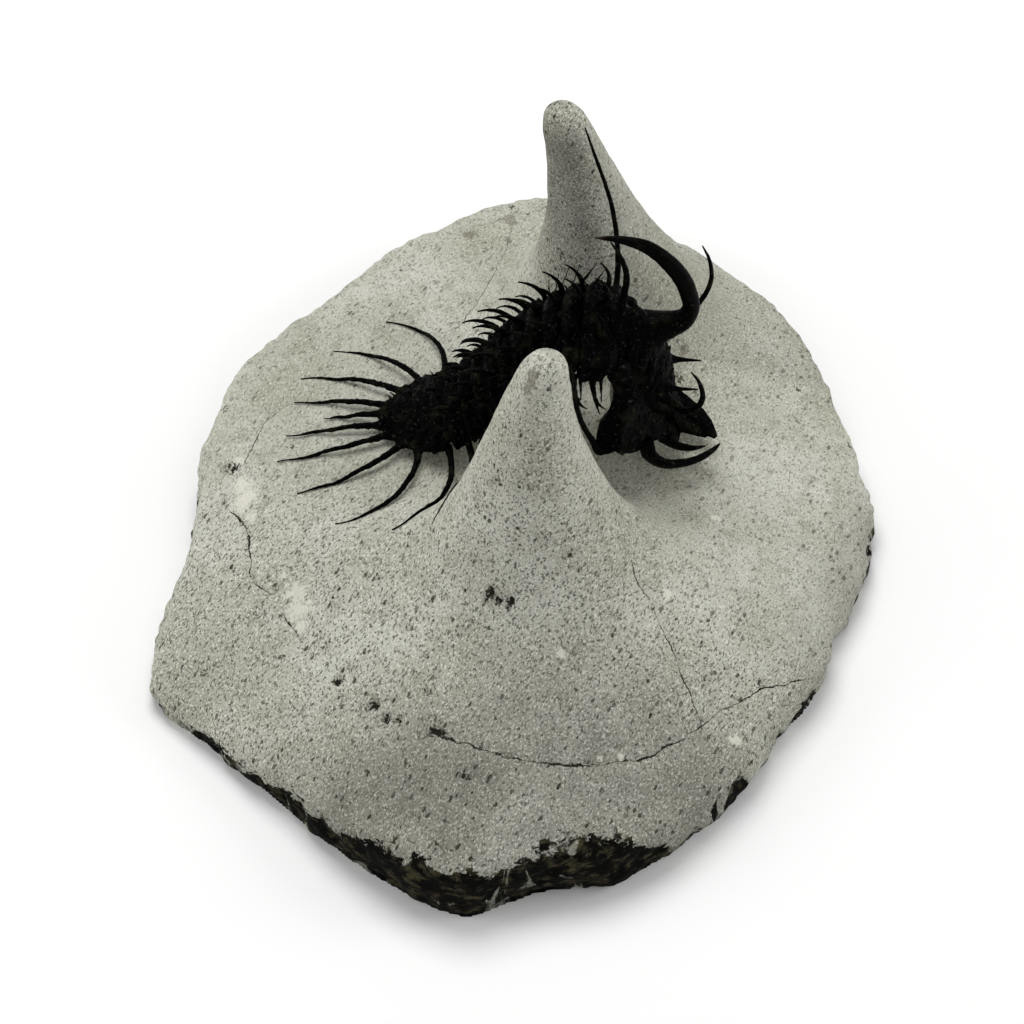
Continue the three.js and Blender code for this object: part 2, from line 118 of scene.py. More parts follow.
# ---------- small sums ----------
def ease(value, low, high):
    """0 below low, 1 above high and a soft slope between."""
    t = np.clip((value - low) / (high - low), 0, 1)
    return t * t * (3 - 2 * t)


def hump(value, middle, reach):
    """A soft hump, 1 at middle and gone at reach on either side."""
    return np.exp(-(((value - middle) / reach) ** 2) * 2.5)


def unit(vectors):
    return vectors / np.linalg.norm(vectors, axis=-1, keepdims=True)


# Random numbers, and the steps that spread cells and seeds over them.
CHANCE = np.random.RandomState(7).uniform(-1, 1, 4096)
CELL_STEPS = np.array([1, 57, 3571])
SEED_STEP = 911
STIR = 2654435


def chance(cells, seed):
    """A fixed random number, -1 to 1, for each whole-numbered cell."""
    keys = (cells * CELL_STEPS[: cells.shape[1]]).sum(axis=1) + seed * SEED_STEP
    return CHANCE[(keys * STIR + (keys >> 5)) % len(CHANCE)]


def lumps(places, size, seed=0):
    """Soft random rise and fall, -1 to 1, in lumps about size across."""
    scaled = places / size
    cell = np.floor(scaled).astype(np.int64)
    part = scaled - cell
    soft = part * part * (3 - 2 * part)
    total = np.zeros(len(places))
    for corner in itertools.product((0, 1), repeat=places.shape[1]):
        weight = np.prod(np.where(corner, soft, 1 - soft), axis=1)
        total += weight * chance(cell + np.array(corner), seed)
    return total


def grains(places, spacing, radius, seed=0):
    """Round-topped grains, 0 to 1, scattered spacing apart over a flat map or in space."""
    scaled = places / spacing
    cell = np.floor(scaled).astype(np.int64)
    top = np.zeros(len(places))
    width = places.shape[1]
    for step in itertools.product((-1, 0, 1), repeat=width):
        near = cell + np.array(step)
        shift = np.stack([chance(near, seed + k) for k in range(width)], axis=1)
        gap = np.linalg.norm(scaled - near - 0.5 - 0.38 * shift, axis=1) * spacing
        size = radius * (0.75 + 0.35 * chance(near, seed + 5))
        top = np.maximum(top, np.clip(1 - (gap / size) ** 2, 0, 1) * size / radius)
    return top


def through(points, steps=24):
    """A smooth line through a few points, with steps places between each pair."""
    knots = np.array(points, float)
    knots = np.vstack([2 * knots[0] - knots[1], knots, 2 * knots[-1] - knots[-2]])
    line = []
    for a, b, c, d in zip(knots, knots[1:], knots[2:], knots[3:]):
        t1 = np.linalg.norm((b - a)[:3]) ** 0.5
        t2 = t1 + np.linalg.norm((c - b)[:3]) ** 0.5
        t3 = t2 + np.linalg.norm((d - c)[:3]) ** 0.5
        t = np.linspace(t1, t2, steps, endpoint=False)[:, None]
        ab = a + (b - a) * t / t1
        bc = b + (c - b) * (t - t1) / (t2 - t1)
        cd = c + (d - c) * (t - t2) / (t3 - t2)
        abc = ab + (bc - ab) * t / t2
        bcd = bc + (cd - bc) * (t - t1) / (t3 - t1)
        line.append(abc + (bcd - abc) * (t - t1) / (t2 - t1))
    return np.vstack([*line, knots[-2:-1]])


def walked(line):
    """Distance along a line at each of its places."""
    return np.concatenate([[0], np.cumsum(np.linalg.norm(np.diff(line, axis=0), axis=1))])


def read(rows, at, column=1):
    """Value at a place, between rows of a place and its values."""
    rows = np.asarray(rows, float)
    return np.interp(at, rows[:, 0], rows[:, column])


def table(rows, at, column=1):
    """The same, rounded off at each row."""
    wide = 0.12 * (rows[-1][0] - rows[0][0]) / len(rows)
    shifts = (-2, -1, 0, 1, 2)
    return sum(read(rows, at + k * wide, column) for k in shifts) / len(shifts)


# ---------- the arched body ----------
TOP = through([(x, 0, z) for x, z in TOP_LINE])
TOP_STEPS = walked(TOP)
BODY = TOP_STEPS[-1]
SLOPE_REACH = 0.6


def place(points):
    """Turns the animal's own lengthwise, sideways and upward measures into the stone's frame."""
    points = np.asarray(points, float)
    cos, sin = math.cos(BODY_TURN), math.sin(BODY_TURN)
    x = points[..., 0] * cos - points[..., 1] * sin + BODY_AT[0]
    y = points[..., 0] * sin + points[..., 1] * cos + BODY_AT[1]
    return np.stack([x, y, points[..., 2]], axis=-1)


def station(distance, section):
    """Place on the top line, its slope, and the section's own upward direction."""
    (x, z), ahead, behind = (
        [np.interp(distance + shift, TOP_STEPS, TOP[:, k]) for k in (0, 2)]
        for shift in (0, SLOPE_REACH, -SLOPE_REACH)
    )
    slope = np.arctan2(ahead[1] - behind[1], ahead[0] - behind[0])
    lean = math.pi / 2 + slope * table(section, distance, 3)
    return x, z, slope, np.cos(lean), np.sin(lean)


def on_body(distance, turn, rise, section=TRUNK):
    """Places on the body: distance along, turn round the section (0 on top, 1 and -1 at its
    edges) and rise above the plain outer face."""
    wanted = (np.asarray(v, float) for v in (distance, turn, rise))
    distance, turn, rise = np.broadcast_arrays(*wanted)
    x, z, _, up_x, up_z = station(distance, section)
    angle = turn * math.pi / 2
    half, deep = table(section, distance, 1), table(section, distance, 2)
    furrow = np.sqrt(np.cos(LOBE_WAVE * angle) ** 2 + 0.012) - 1
    if section is HEAD:
        soft = 0.02
        arch = 1 - (np.sin(angle) ** 2 + soft) ** (HEAD_ROOF / 2) + soft ** (HEAD_ROOF / 2)
        lobes = HEAD_LOBES * furrow
    else:
        arch = np.cos(angle)
        lobes = THORAX_LOBES * furrow
    up = (deep + rise + lobes) * arch - deep
    side = (half + rise + lobes) * np.sin(angle)
    return np.stack([x + up_x * up, side, z + up_z * up], axis=-1)


# ---------- making and finishing meshes ----------
def corners(part):
    return np.array([v.co for v in part.verts], float)


def spots_of(mesh, what="co"):
    """Places, or normals, of a mesh's corners in rows of three."""
    rows = np.empty(len(mesh.vertices) * 3)
    mesh.vertices.foreach_get(what, rows)
    return rows.reshape(-1, 3)


def note(mesh, name, values):
    """Notes a number at each corner, for the material to read."""
    kept = mesh.attributes.new(name, "FLOAT", "POINT")
    kept.data.foreach_set("value", values.astype(np.float32))


def mesh_of(bm, name):
    mesh = bpy.data.meshes.new(name)
    bm.to_mesh(mesh)
    bm.free()
    return mesh


def put(name, data):
    """Puts a mesh, lamp or camera into the scene."""
    made = bpy.data.objects.new(name, data)
    bpy.context.scene.collection.objects.link(made)
    return made


def pour(part, places, bm):
    """Moves a part's corners to their places and adds the part to a mesh."""
    held = mesh_of(part, "part")
    held.vertices.foreach_set("co", np.asarray(places, float).ravel())
    bm.from_mesh(held)
    bpy.data.meshes.remove(held)


def add_plate(bm, along, across, shape):
    """A thick bent plate: shape(t, turn, depth) gives the place of a corner that lies t along
    it, at turn from -1 to 1 across it, and at depth 0 on its face or 1 on its back."""
    part = bmesh.new()
    bmesh.ops.create_grid(part, x_segments=along, y_segments=across, size=1)
    backs = bmesh.ops.extrude_face_region(part, geom=part.faces[:], use_keep_orig=True)
    lifted = [v for v in backs["geom"] if isinstance(v, bmesh.types.BMVert)]
    bmesh.ops.translate(part, verts=lifted, vec=(0, 0, 1))
    plain = corners(part)
    pour(part, place(shape(plain[:, 0] / 2 + 0.5, plain[:, 1], plain[:, 2])), bm)


# A direction that no spine runs along, so that their sections never flip.
LEVEL = unit(np.array([0.31, 0.17, 0.94]))


def add_spine(bm, points, sides=12, rings=20, wide=1.0, roll=0.0, rough=0.07, flare=0.5, seed=0):
    """A tapering spine through points of lengthwise, sideways, height and radius.  A blade is
    wide times as broad as it is thick, rolled about its length.  Its root flares out into
    what it grows from, and its skin is rough by a share of its radius."""
    line = through(points)
    picked = np.linspace(0, len(line) - 1, rings + 1)
    path = np.stack([np.interp(picked, np.arange(len(line)), row) for row in line.T], axis=1)
    middle, radius = place(path[:, :3]), np.maximum(path[:, 3], SPINE_TIP * 0.6)
    tangent = unit(np.gradient(middle, axis=0))
    across = unit(np.cross(tangent, LEVEL))
    above = np.cross(across, tangent)
    part = bmesh.new()
    bmesh.ops.create_cone(part, cap_ends=True, segments=sides, radius1=1, radius2=1, depth=rings)
    lengthwise = [e for e in part.edges if abs(e.verts[0].co.z - e.verts[1].co.z) > rings / 2]
    bmesh.ops.subdivide_edges(part, edges=lengthwise, cuts=rings - 1)
    plain = corners(part)
    ring = np.rint(plain[:, 2] + rings / 2).astype(int)
    steps = walked(middle)
    root = 1 + flare * np.exp(-(steps / (1.4 * radius[0])) ** 2)
    size = radius[ring] * root[ring]
    round_it = np.arctan2(plain[:, 1], plain[:, 0])
    tooth = lumps(np.column_stack([steps[ring] / 0.7, round_it * 1.1]), 1, seed)
    tooth += 0.9 * lumps(np.column_stack([steps[ring] / 0.3, round_it * 1.7]), 1, seed + 3)
    size = size * (1 + rough * tooth * (ring < rings))
    broad, thick = plain[:, 0] * size * wide, plain[:, 1] * size
    turned = broad * math.cos(roll) - thick * math.sin(roll)
    raised = broad * math.sin(roll) + thick * math.cos(roll)
    pour(part, middle[ring] + across[ring] * turned[:, None] + above[ring] * raised[:, None], bm)


def curl(root, start, end, length, radius):
    """Points of a spine that sets off along start and curls round to end."""
    start, end = unit(np.array(start, float)), unit(np.array(end, float))
    points = []
    for t in np.linspace(0, 1, 6):
        at = np.array(root) + length * (start * (t - t * t / 2) + end * t * t / 2)
        points.append((*at, max(SPINE_TIP, radius * (1 - t) ** 0.75)))
    return points


def piece(name, bm, material, stands_for):
    """Turns a mesh in millimetres into a finished piece that rides on the block."""
    bmesh.ops.recalc_face_normals(bm, faces=bm.faces)
    for face in bm.faces:
        face.smooth = True
    mesh = mesh_of(bm, name)
    mesh.vertices.foreach_set("co", (spots_of(mesh) * MM).ravel())
    mesh.update()
    mesh.materials.append(material)
    made = put(name, mesh)
    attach(made, "root")
    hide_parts(stands_for)
    return made


# ---------- materials ----------
def colour(code):
    """Linear colour of an sRGB hex value."""
    parts = [int(code[i : i + 2], 16) / 255 for i in (1, 3, 5)]
    linear = [p / 12.92 if p <= 0.04045 else ((p + 0.055) / 1.055) ** 2.4 for p in parts]
    return (*linear, 1)


def add_node(tree, kind, inputs=(), **settings):
    """Adds a shader node with its settings.  Its inputs, by name or in the node's own order,
    are values, or what feeds them."""
    made = tree.nodes.new("ShaderNode" + kind)
    for name, value in settings.items():
        setattr(made, name, value)
    for name, value in inputs.items() if isinstance(inputs, dict) else enumerate(inputs):
        if isinstance(value, bpy.types.Node):
            value = next(out for out in value.outputs if out.enabled)
        if isinstance(value, bpy.types.NodeSocket):
            tree.links.new(value, made.inputs[name])
        else:
            made.inputs[name].default_value = value
    return made


def new_material(name):
    """An empty material, the way to add its nodes, and the object's own coordinates."""
    material = bpy.data.materials.new(name)
    material.use_nodes = True
    material.node_tree.nodes.clear()
    add = functools.partial(add_node, material.node_tree)
    return material, add, add("TexCoord").outputs["Object"]


def per(size_mm):
    """Scale of a pattern whose marks are size_mm across."""
    return 1 / (size_mm * MM)


# Inputs of a colour mix: share, first and second colour.  Those of a MapRange are, in order,
# its value, the low and high end it comes in between, and the ends it leaves between.
SHARE, FIRST, SECOND = 0, 6, 7


def black_calcite():
    """Shell replaced by black calcite and freed with a fine air-abrasive jet: nearly black, a
    little olive where it is worn, satin, with a fine granular skin peppered with painted glints
    of warm and cold grey; the horn is smoother and plainer, with a brown tip.  The jet's own
    marks, under 0.1 mm, are too fine to show and are drawn two to three times as coarse."""
    material, add, at = new_material("black_calcite_air_abraded")
    cloud, glint_spots, tint, fine = (
        add("TexNoise", {"Vector": at, "Scale": per(size), "Detail": detail})
        for size, detail in ((2.6, 4), (0.45, 3), (1.1, 2), (0.16, 4))
    )
    grit = add("TexVoronoi", {"Vector": at, "Scale": per(0.33)})
    horn = add("Attribute", attribute_name="horn").outputs["Fac"]
    tint = add("MapRange", (tint, 0.45, 0.55))
    # painted glints: warm and cold grey specks that stand in for highlights on the grains
    rind_flecks_and_glints = add("Mix", {
        SHARE: tint, FIRST: colour("#47463a"), SECOND: colour("#2c2e36"),
    }, data_type="RGBA")
    # worn ground, painted glints in warm and cold grey, the horn and its tip, each laid over the
    # last
    face = colour("#020202")
    for field, low, high, most, over in (
        (cloud, 0.54, 0.66, 1, colour("#16150e")),
        (glint_spots, 0.62, 0.74, 0.8, rind_flecks_and_glints),
        (horn, 0.25, 0.4, 0.6, colour("#070605")),
        (horn, 0.93, 1, 0.8, colour("#3d2f1f")),
    ):
        share = add("MapRange", (field, low, high, 0, most))
        face = add("Mix", {SHARE: share, FIRST: face, SECOND: over}, data_type="RGBA")
    rough = add("MapRange", (horn, 0.2, 0.35, 0.7, 0.2))
    bump = add("Bump", {"Height": grit, "Strength": rough, "Distance": 0.07 * MM}, invert=True)
    bump = add("Bump", {
        "Height": fine, "Strength": rough, "Distance": 0.06 * MM, "Normal": bump,
    })
    gloss = add("MapRange", (cloud, 0.3, 0.7, 0.38, 0.56))
    shader = add("BsdfPrincipled", {
        "Base Color": face, "Roughness": gloss, "Normal": bump, "IOR": 1.5,
        "Specular IOR Level": 0.02,
    })
    add("OutputMaterial", {"Surface": shader})
    return material


def limestone():
    """Pale green-grey limestone, ground back with air abrasive: matt, finely grained, peppered
    with small dark pits, cracked here and there, and left with its dark rind on the edge."""
    material, add, at = new_material("limestone_air_abraded")
    mark = {
        name: add("Attribute", attribute_name=name).outputs["Fac"]
        for name in ("coarse", "dull_ground_and_shade", "pale", "stain", "rind", "hole", *CRACKS)
    }
    # the real grain and dust, about 0.1 mm, are too fine to show and are drawn nearly three
    # times as coarse; the jet's strokes draw them out; the rind lies in beds, breaks upright
    brushed = add("Mapping", {
        "Vector": at, "Rotation": (0, 0, -0.5), "Scale": (1, 1.9, 1.3),
    }, vector_type="TEXTURE")
    bedded = add("Mapping", {"Vector": at, "Scale": (0.6, 0.6, 1.4)})
    upright = add("Mapping", {"Vector": at, "Scale": (1, 1, 0.45)})
    broad, patch, grain, dust, bend, crumb, streak, gap = (
        add("TexNoise", {
            "Vector": where, "Scale": per(size), "Detail": detail, "Roughness": rough,
            "Distortion": swirl,
        })
        for where, size, detail, rough, swirl in (
            (at, 17, 6, 0.5, 0), (at, 3, 6, 0.62, 0), (brushed, 0.3, 2, 0.7, 0),
            (brushed, 0.24, 2, 0.7, 0), (at, 0.5, 2, 0.5, 0), (at, 0.6, 4, 0.7, 0),
            (bedded, 1.1, 6, 0.7, 0), (upright, 5.5, 6, 0.6, 1),
        )
    )
    contrast = add("MapRange", (mark["coarse"], 0, 1, 0.64, 1))
    lighter = add("MapRange", (mark["dull_ground_and_shade"], 0, 1, 1, 0.4))
    dusting = add("Math", (contrast, lighter), operation="MULTIPLY")
    least = add("MapRange", (mark["dull_ground_and_shade"], 0, 1, 0.25, 0.7))
    pits_here = add("MapRange", (patch, 0.35, 0.65, least, contrast))
    # small dark pits, and ragged brown flaws, few and far between: how far their edges stray
    # and how far apart they lie in mm, the share left out, and the smallest and largest size
    inside = []
    for where, stray, apart, left_out, smallest, largest in (
        (brushed, 0.45, 0.85, 0.32, 0.05, 0.35),
        (at, 2.2, 3.6, 0.55, -0.05, 0.17),
    ):
        shift = add("VectorMath", (bend.outputs["Color"], (stray * MM,) * 3), operation="MULTIPLY")
        strayed = add("VectorMath", (where, shift), operation="ADD")
        cell = add("TexVoronoi", {"Vector": strayed, "Scale": per(apart)})
        luck = add("SeparateColor", {"Color": cell.outputs["Color"]}).outputs["Red"]
        reach = add("MapRange", (luck, left_out, 1, smallest, largest))
        inside.append(add("Math", (reach, cell.outputs["Distance"]), operation="SUBTRACT"))
    pit, flaw = add("MapRange", (inside[0], 0, 0.04)), inside[1]
    pale, stain, hollow_shade = (
        add("Math", (crumb, share, mark[name]), operation="MULTIPLY_ADD")
        for name, share in (("pale", 2.6), ("stain", 2.6), ("hole", 3.4))
    )
    # over the grey-green body lie paler clouds, a darker tone (painted shade on the rear pillar,
    # darker ground towards the front and right), mottling, light dust, dark grain, pits, flaws,
    # calcite patches and brown stains
    ground = colour("#a8a898")
    for field, low, high, most, code in (
        (broad, 0.36, 0.64, 1, "#c4c4b8"),
        # a darker tone: painted shade on the rear pillar, darker ground towards the front and right
        (mark["dull_ground_and_shade"], 0, 1, 1, "#6e6d63"),
        (patch, 0.5, 0.74, 0.8, "#8f8d7e"),
        (dust, 0.52, 0.64, dusting, "#dfdfd3"),
        (grain, 0.54, 0.62, contrast, "#66655b"),
        (pit, 0, 1, pits_here, "#2a2922"),
        (flaw, -0.01, 0.03, 0.85, "#38352b"),
        (pale, 1.35, 1.85, 0.8, "#dddbce"),
        (stain, 1.35, 1.85, 0.6, "#6d675a"),
    ):
        share = add("MapRange", (field, low, high, 0, most))
        ground = add("Mix", {SHARE: share, FIRST: ground, SECOND: colour(code)}, data_type="RGBA")
    # dark rind, flecked in clusters and broken through to the stone, with a ragged border
    clusters = add("Math", (patch, 0.7, streak), operation="MULTIPLY_ADD")
    ragged = add("MapRange", (streak, 0.3, 0.7, 0, 2.4))
    border = add("Math", (mark["rind"], ragged), operation="ADD")
    rind_flecks_and_glints, gaps, covered = (
        add("MapRange", (field, low, high, 0, most))
        for field, low, high, most in (
            (clusters, 0.86, 1.06, 1), (gap, 0.555, 0.6, 0.85), (border, 1.1, 1.3, 1),
        )
    )
    rind = add("Mix", {
        SHARE: rind_flecks_and_glints, FIRST: colour("#020201"), SECOND: colour("#45412f"),
    }, data_type="RGBA")
    rind = add("Mix", {SHARE: gaps, FIRST: rind, SECOND: ground}, data_type="RGBA")
    face = add("Mix", {SHARE: covered, FIRST: ground, SECOND: rind}, data_type="RGBA")
    # cracks and holes are painted dark inside, as the shade in them, with a crumbling rim
    crumble = add("MapRange", (patch, 0.4, 0.62, 0, 1.3))
    hollow_shade = add("MapRange", (hollow_shade, 2.05, 2.35))
    for name in CRACKS:
        away = add("Math", (crumb, 7, mark[name]), operation="MULTIPLY_ADD")
        away = add("Math", (away, 3.5), operation="SUBTRACT")
        away = add("Math", (away,), operation="ABSOLUTE")
        away = add("Math", (away, crumble), operation="ADD")
        within = add("MapRange", (away, 1.9, 1.1))
        hollow_shade = add("Math", (hollow_shade, within), operation="MAXIMUM")
    # near-black painted shade inside the cracks and holes
    face = add("Mix", {SHARE: hollow_shade, FIRST: face, SECOND: colour("#24221b")}, data_type="RGBA")
    # relief of pits, grain and dust
    bump = {}
    for height, strength, deep, sunk in (
        (pit, 0.6, 0.12, True), (grain, contrast, 0.26, True), (dust, contrast, 0.12, False),
    ):
        bump = {"Normal": add("Bump", {
            "Height": height, "Strength": strength, "Distance": deep * MM, **bump,
        }, invert=sunk)}
    shader = add("BsdfPrincipled", {
        "Base Color": face, "Roughness": 0.92, "IOR": 1.5, "Specular IOR Level": 0.1, **bump,
    })
    add("OutputMaterial", {"Surface": shader})
    return material


# ---------- thorax ----------
def middle_of(number):
    return NECK - (number - 0.5) * PITCH


def skin(spots, coarse, fine, wear, seed):
    """Warts, finer grains and worn lumps over a face: heights of each, in millimetres."""
    return (
        coarse * grains(spots, 1.05, 0.44, seed)
        + 0.55 * coarse * grains(spots, 0.66, 0.27, seed + 7)
        + fine * grains(spots, 0.38, 0.17, seed + 14)
        + wear * lumps(spots, 1.5, seed + 21)
        + 0.4 * wear * lumps(spots, 0.6, seed + 28)
    )


def thorax_shape(number):
    """Shape of one hoop: a raised ring on the axis, furrowed side plates, free back-swept ends."""
    middle = middle_of(number)
    rear, front = middle - PITCH * 0.6, middle + PITCH * 0.52

    def shape(t, turn, depth):
        side = np.abs(turn)
        free = ease(side, 0.7, 1)
        taper = 1 - 0.5 * free
        distance = rear + (front - rear) * (0.5 + (t - 0.5) * taper) - 0.9 * free
        if number == 1:
            distance = distance + 1.7 * t * ease(side, 0.22, 0.5)
        on_axis = 1 - ease(side, 0.34, 0.44)
        ring = 0.6 * hump(t, 0.36, 0.4) * on_axis
        groove = -0.45 * hump(t, 0.8, 0.2) * on_axis
        rib = (0.36 * hump(t, 0.22, 0.25) + 0.3 * hump(t, 0.8, 0.2)) * (1 - on_axis)
        furrow = -0.3 * hump(t, 0.62 - 0.25 * side, 0.16) * (1 - on_axis)
        tile = 0.55 * (1 - t) - 0.34 * ease(t, 0.75, 1)
        spots = on_body(distance, turn, 0)
        beads = 0.2 * hump(t, 0.1, 0.13) * np.clip(np.cos(turn * 62 + number), 0, 1)
        edge = np.minimum(1, 6 * np.minimum(t, 1 - t)) * np.minimum(1, 9 * (1 - side))
        relief = ring + groove + rib + furrow + beads + skin(spots, 0.46, 0.14, 0.26, number)
        rise = tile + relief * (1 - depth) * (0.35 + 0.65 * edge)
        rise = rise - depth * SHELL - (1 - edge) * 0.12 * (1 - depth)
        return on_body(distance, turn, rise)

    return shape


def hook(root, start, end, length, radius, spread=0.0):
    """Points of a hooked spine that sets off at start degrees above straight ahead and bends
    over to end; spread leans it sideways."""
    steps = 8
    at = np.array(root, float)
    points = []
    for i in range(steps + 1):
        t = i / steps
        points.append((*at, max(SPINE_TIP, radius * (1 - t) ** 0.6)))
        angle = math.radians(start + (end - start) * (t + 0.5 / steps))
        at += length / steps * np.array([math.cos(angle), spread * (1 - 0.6 * t), math.sin(angle)])
    return points


# How far spines shift sideways as they settle on the stone.
SETTLE = 0.5


def edge_spine(root, side, length, start, end, radius=0.52, seed=0):
    """Points of a spine of the body's edge that lies just over the stone, its heading turning
    evenly from start to end, in degrees out from straight back."""
    steps = 12
    at = [root[0], root[1]]
    points = []
    for i in range(steps + 1):
        t = i / steps
        wide = max(SPINE_TIP, radius * (1 - t) ** 0.62)
        down = min(1, t * 1.5)
        waver = 0.13 * math.sin(t * 17 + seed * 2.1) * t
        across = at[1] + SETTLE * down - waver
        x, y, _ = place((at[0] + waver, across, 0))
        height = root[2] + (surface(x, y) + wide * 0.8 - root[2]) * down
        points.append((at[0] + waver, across, height, wide))
        heading = math.radians(start + (end - start) * (t + 0.5 / steps))
        at[0] -= math.cos(heading) * length / steps
        at[1] += side * math.sin(heading) * length / steps
    return points


# What changes from hoop to hoop, as hoop and value: how steeply the hooks stand and bend over
# in degrees, their lengths on the axis and beside it, and the length and backward lean of the
# spines of the edge.
HOOK_RISE = [(1, 50), (4, 46), (11, 30)]
HOOK_BEND = [(1, 50), (4, 58), (6, 78), (11, 84)]
AXIS_HOOKS = [(1, 6.6), (3, 6.6), (5, 5.8), (7, 6.6), (8, 5), (11, 3.4)]
SIDE_HOOKS = [(1, 7), (3, 7), (5, 6.2), (6, 7.4), (7, 8), (8, 5.6), (11, 3.8)]
EDGE_SPINES = [(8, 7), (9, 5), (11, 3.6)]
EDGE_LEAN = [(8, -0.6), (11, 0.2)]

# The near edge's two long spines: hoop, length, heading at the root and at the tip.
LONG_EDGE_SPINES = {10: (19.5, 116, 48), 11: (19, 114, 24)}

# Thin bristles that stick up between the hooks: hoop, turn round it, direction, radius.
BRISTLES = [
    (3, 0.44, (4.8, 0.6, 7.4), 0.3), (2, 0.44, (3.3, 0.3, 5.1), 0.25),
    (4, 0.44, (3, 0.5, 8), 0.13), (3, 0.5, (2.3, 0.4, 6.8), 0.12), (4, 0.5, (1.4, 0.3, 6.6), 0.13),
    (4, 0.4, (0.3, 0.2, 5.4), 0.13), (5, 0.46, (2.2, 0.3, 6), 0.12),
]
THORNLETS = 22


def add_thornlets(bm, spread, count, seed):
    """Scatters small thorns that lean back, over distances and turns given as (low, high) pairs."""
    rolls = np.random.RandomState(seed).uniform(0, 1, (count, 5))
    (near, far), (low, high) = spread
    for a, b, c, d, e in rolls:
        distance, turn = near + (far - near) * a, (low + (high - low) * b) * (1 if c < 0.5 else -1)
        root = on_body(distance, turn, -0.3)
        out = on_body(distance, turn, 0.7) - root
        back = np.array([-0.7 - 0.5 * d, 0, -0.1])
        length = 0.8 + 0.9 * e
        tip = root + unit(out + back * 0.3) * length
        bend = root + unit(out - back * 0.1) * length * 0.55
        points = [(*root, 0.24 + 0.1 * d), (*bend, 0.17), (*tip, SPINE_TIP * 0.7)]
        add_spine(bm, points, sides=7, rings=6, flare=0.7, seed=seed + int(b * 90))


def add_edge_spines(bm, number, side, seed):
    """Spines that hang from a hoop's edge: forked over the front of the arch, long beside the
    tail and short and swept back in between."""
    middle = middle_of(number)
    root = on_body(middle, side * 0.94, -0.5)
    if side == NEAR and number in LONG_EDGE_SPINES:
        length, start, end = LONG_EDGE_SPINES[number]
        long = edge_spine(root, side, length, start, end, seed=number)
        add_spine(bm, long, rings=90, flare=0.35, rough=0.14, seed=seed + 60)
        return
    if number < 5:
        low = curl(root, (0.1, side * 0.5, -0.8), (0.35, side * 0.2, -1), 6.2, 0.52)
        fork = curl(low[3][:3], (0.4, side * 0.2, -1), (0.8, side * 0.1, -0.3), 2.4, 0.36)
        add_spine(bm, fork, sides=9, rings=12, flare=0.2, rough=0.2, seed=seed + 33)
        root = on_body(middle + 1, side * 0.86, -0.6)
        thin = curl(root, (0.2, side * 0.4, -0.9), (0, side * 0.2, -1), 5, 0.38)
        add_spine(bm, thin, sides=9, rings=18, flare=0.4, rough=0.24, seed=seed + 36)
    else:
        lean, length = read(EDGE_LEAN, number), read(EDGE_SPINES, number)
        low = curl(root, (0.1, side, -0.35), (lean, side * 0.8, -0.5), length, 0.45)
    add_spine(bm, low, sides=10, rings=24, flare=0.4, rough=0.2, seed=seed + 30)


def thorax_segment(number):
    """One hoop with its hooks, the spines of its edges, bristles and small thorns."""
    bm = bmesh.new()
    add_plate(bm, 24, 170, thorax_shape(number))
    middle = middle_of(number)
    lean = math.degrees(float(station(middle, TRUNK)[2])) + 90
    luck = np.random.RandomState(number).uniform(-1, 1, 12)
    start, end = lean - read(HOOK_RISE, number), lean + read(HOOK_BEND, number)
    length = read(AXIS_HOOKS, number) + 0.4 * luck[0]
    arc = hook(on_body(middle, 0, -0.7), start, end + 8 * luck[1], length, 0.54)
    add_spine(bm, arc, rings=30, flare=1.0, rough=0.1, seed=number)
    for side, (longer, steeper, further) in ((NEAR, luck[2:5]), (FAR, luck[6:9])):
        seed = number * 3 + side
        length = read(SIDE_HOOKS, number) + 0.5 * longer
        root = on_body(middle - 0.3, side * 0.44, -0.6)
        arc = hook(root, start + 8 * steeper, end + 10 * further, length, 0.52, side * 0.1)
        add_spine(bm, arc, sides=10, rings=30, flare=1.1, rough=0.14, seed=seed)
        if number > 4:
            root = on_body(middle + 0.4, side * 0.66, -0.6)
            arc = hook(root, start, end + 12, length * 0.75, 0.38, side * 0.3)
            add_spine(bm, arc, sides=9, rings=18, flare=1.0, rough=0.14, seed=seed + 45)
        add_edge_spines(bm, number, side, seed)
    for hoop, turn, direction, radius in BRISTLES:
        if hoop == number:
            root = on_body(middle, turn, -0.5)
            tip = root + np.array(direction)
            waist = (root + tip) / 2 + (0.25, 0, -0.2)
            points = [(*root, radius), (*waist, radius * 0.8), (*tip, 0.05)]
            add_spine(bm, points, sides=7, rings=12, flare=0.6, rough=0.1, seed=int(radius * 900))
    spread = (middle - PITCH * 0.4, middle + PITCH * 0.3), (0.04, 0.9)
    add_thornlets(bm, spread, THORNLETS, number + 300)
    return bm


# ---------- tail shield ----------
# Pairs of edge spines: distance along on the near side and on the far side, turn, length,
# and heading at the root and at the tip.
TAIL_SPINES = [
    (1, 1.3, 0.7, 14.4, 8, 3), (2.4, 3.3, 0.8, 17, 27, 2), (4.5, 6, 0.86, 17.4, 54, 6),
    (7.2, 8.9, 0.94, 19, 97, 9),
]
TAIL_POINT = 9
TAIL_THORNLETS = 26


def tail_shape(t, turn, depth):
    """Shape of the tail shield: a ringed, tapering axis and ribs that sweep back to the edge."""
    distance = 0.15 + (TAIL_SHIELD + 0.35) * t
    side = np.abs(turn)
    on_axis = 1 - ease(side, 0.3, 0.42)
    rings = 0.32 * np.abs(np.sin(math.pi * distance / 1.55)) ** 0.7 * on_axis
    sweep = (distance + 3.4 * side ** 1.6) / 2.05
    ribs = 0.5 * np.abs(np.sin(math.pi * sweep)) ** 0.8 * (1 - on_axis)
    ribs = ribs * (1 - 0.5 * ease(side, 0.85, 1))
    edge = np.minimum(1, 7 * t) * np.minimum(1, 9 * (1 - side))
    relief = rings + ribs + 0.25 * on_axis + skin(on_body(distance, turn, 0), 0.38, 0.14, 0.26, 71)
    return on_body(distance, turn, relief * (1 - depth) * edge - depth * SHELL)


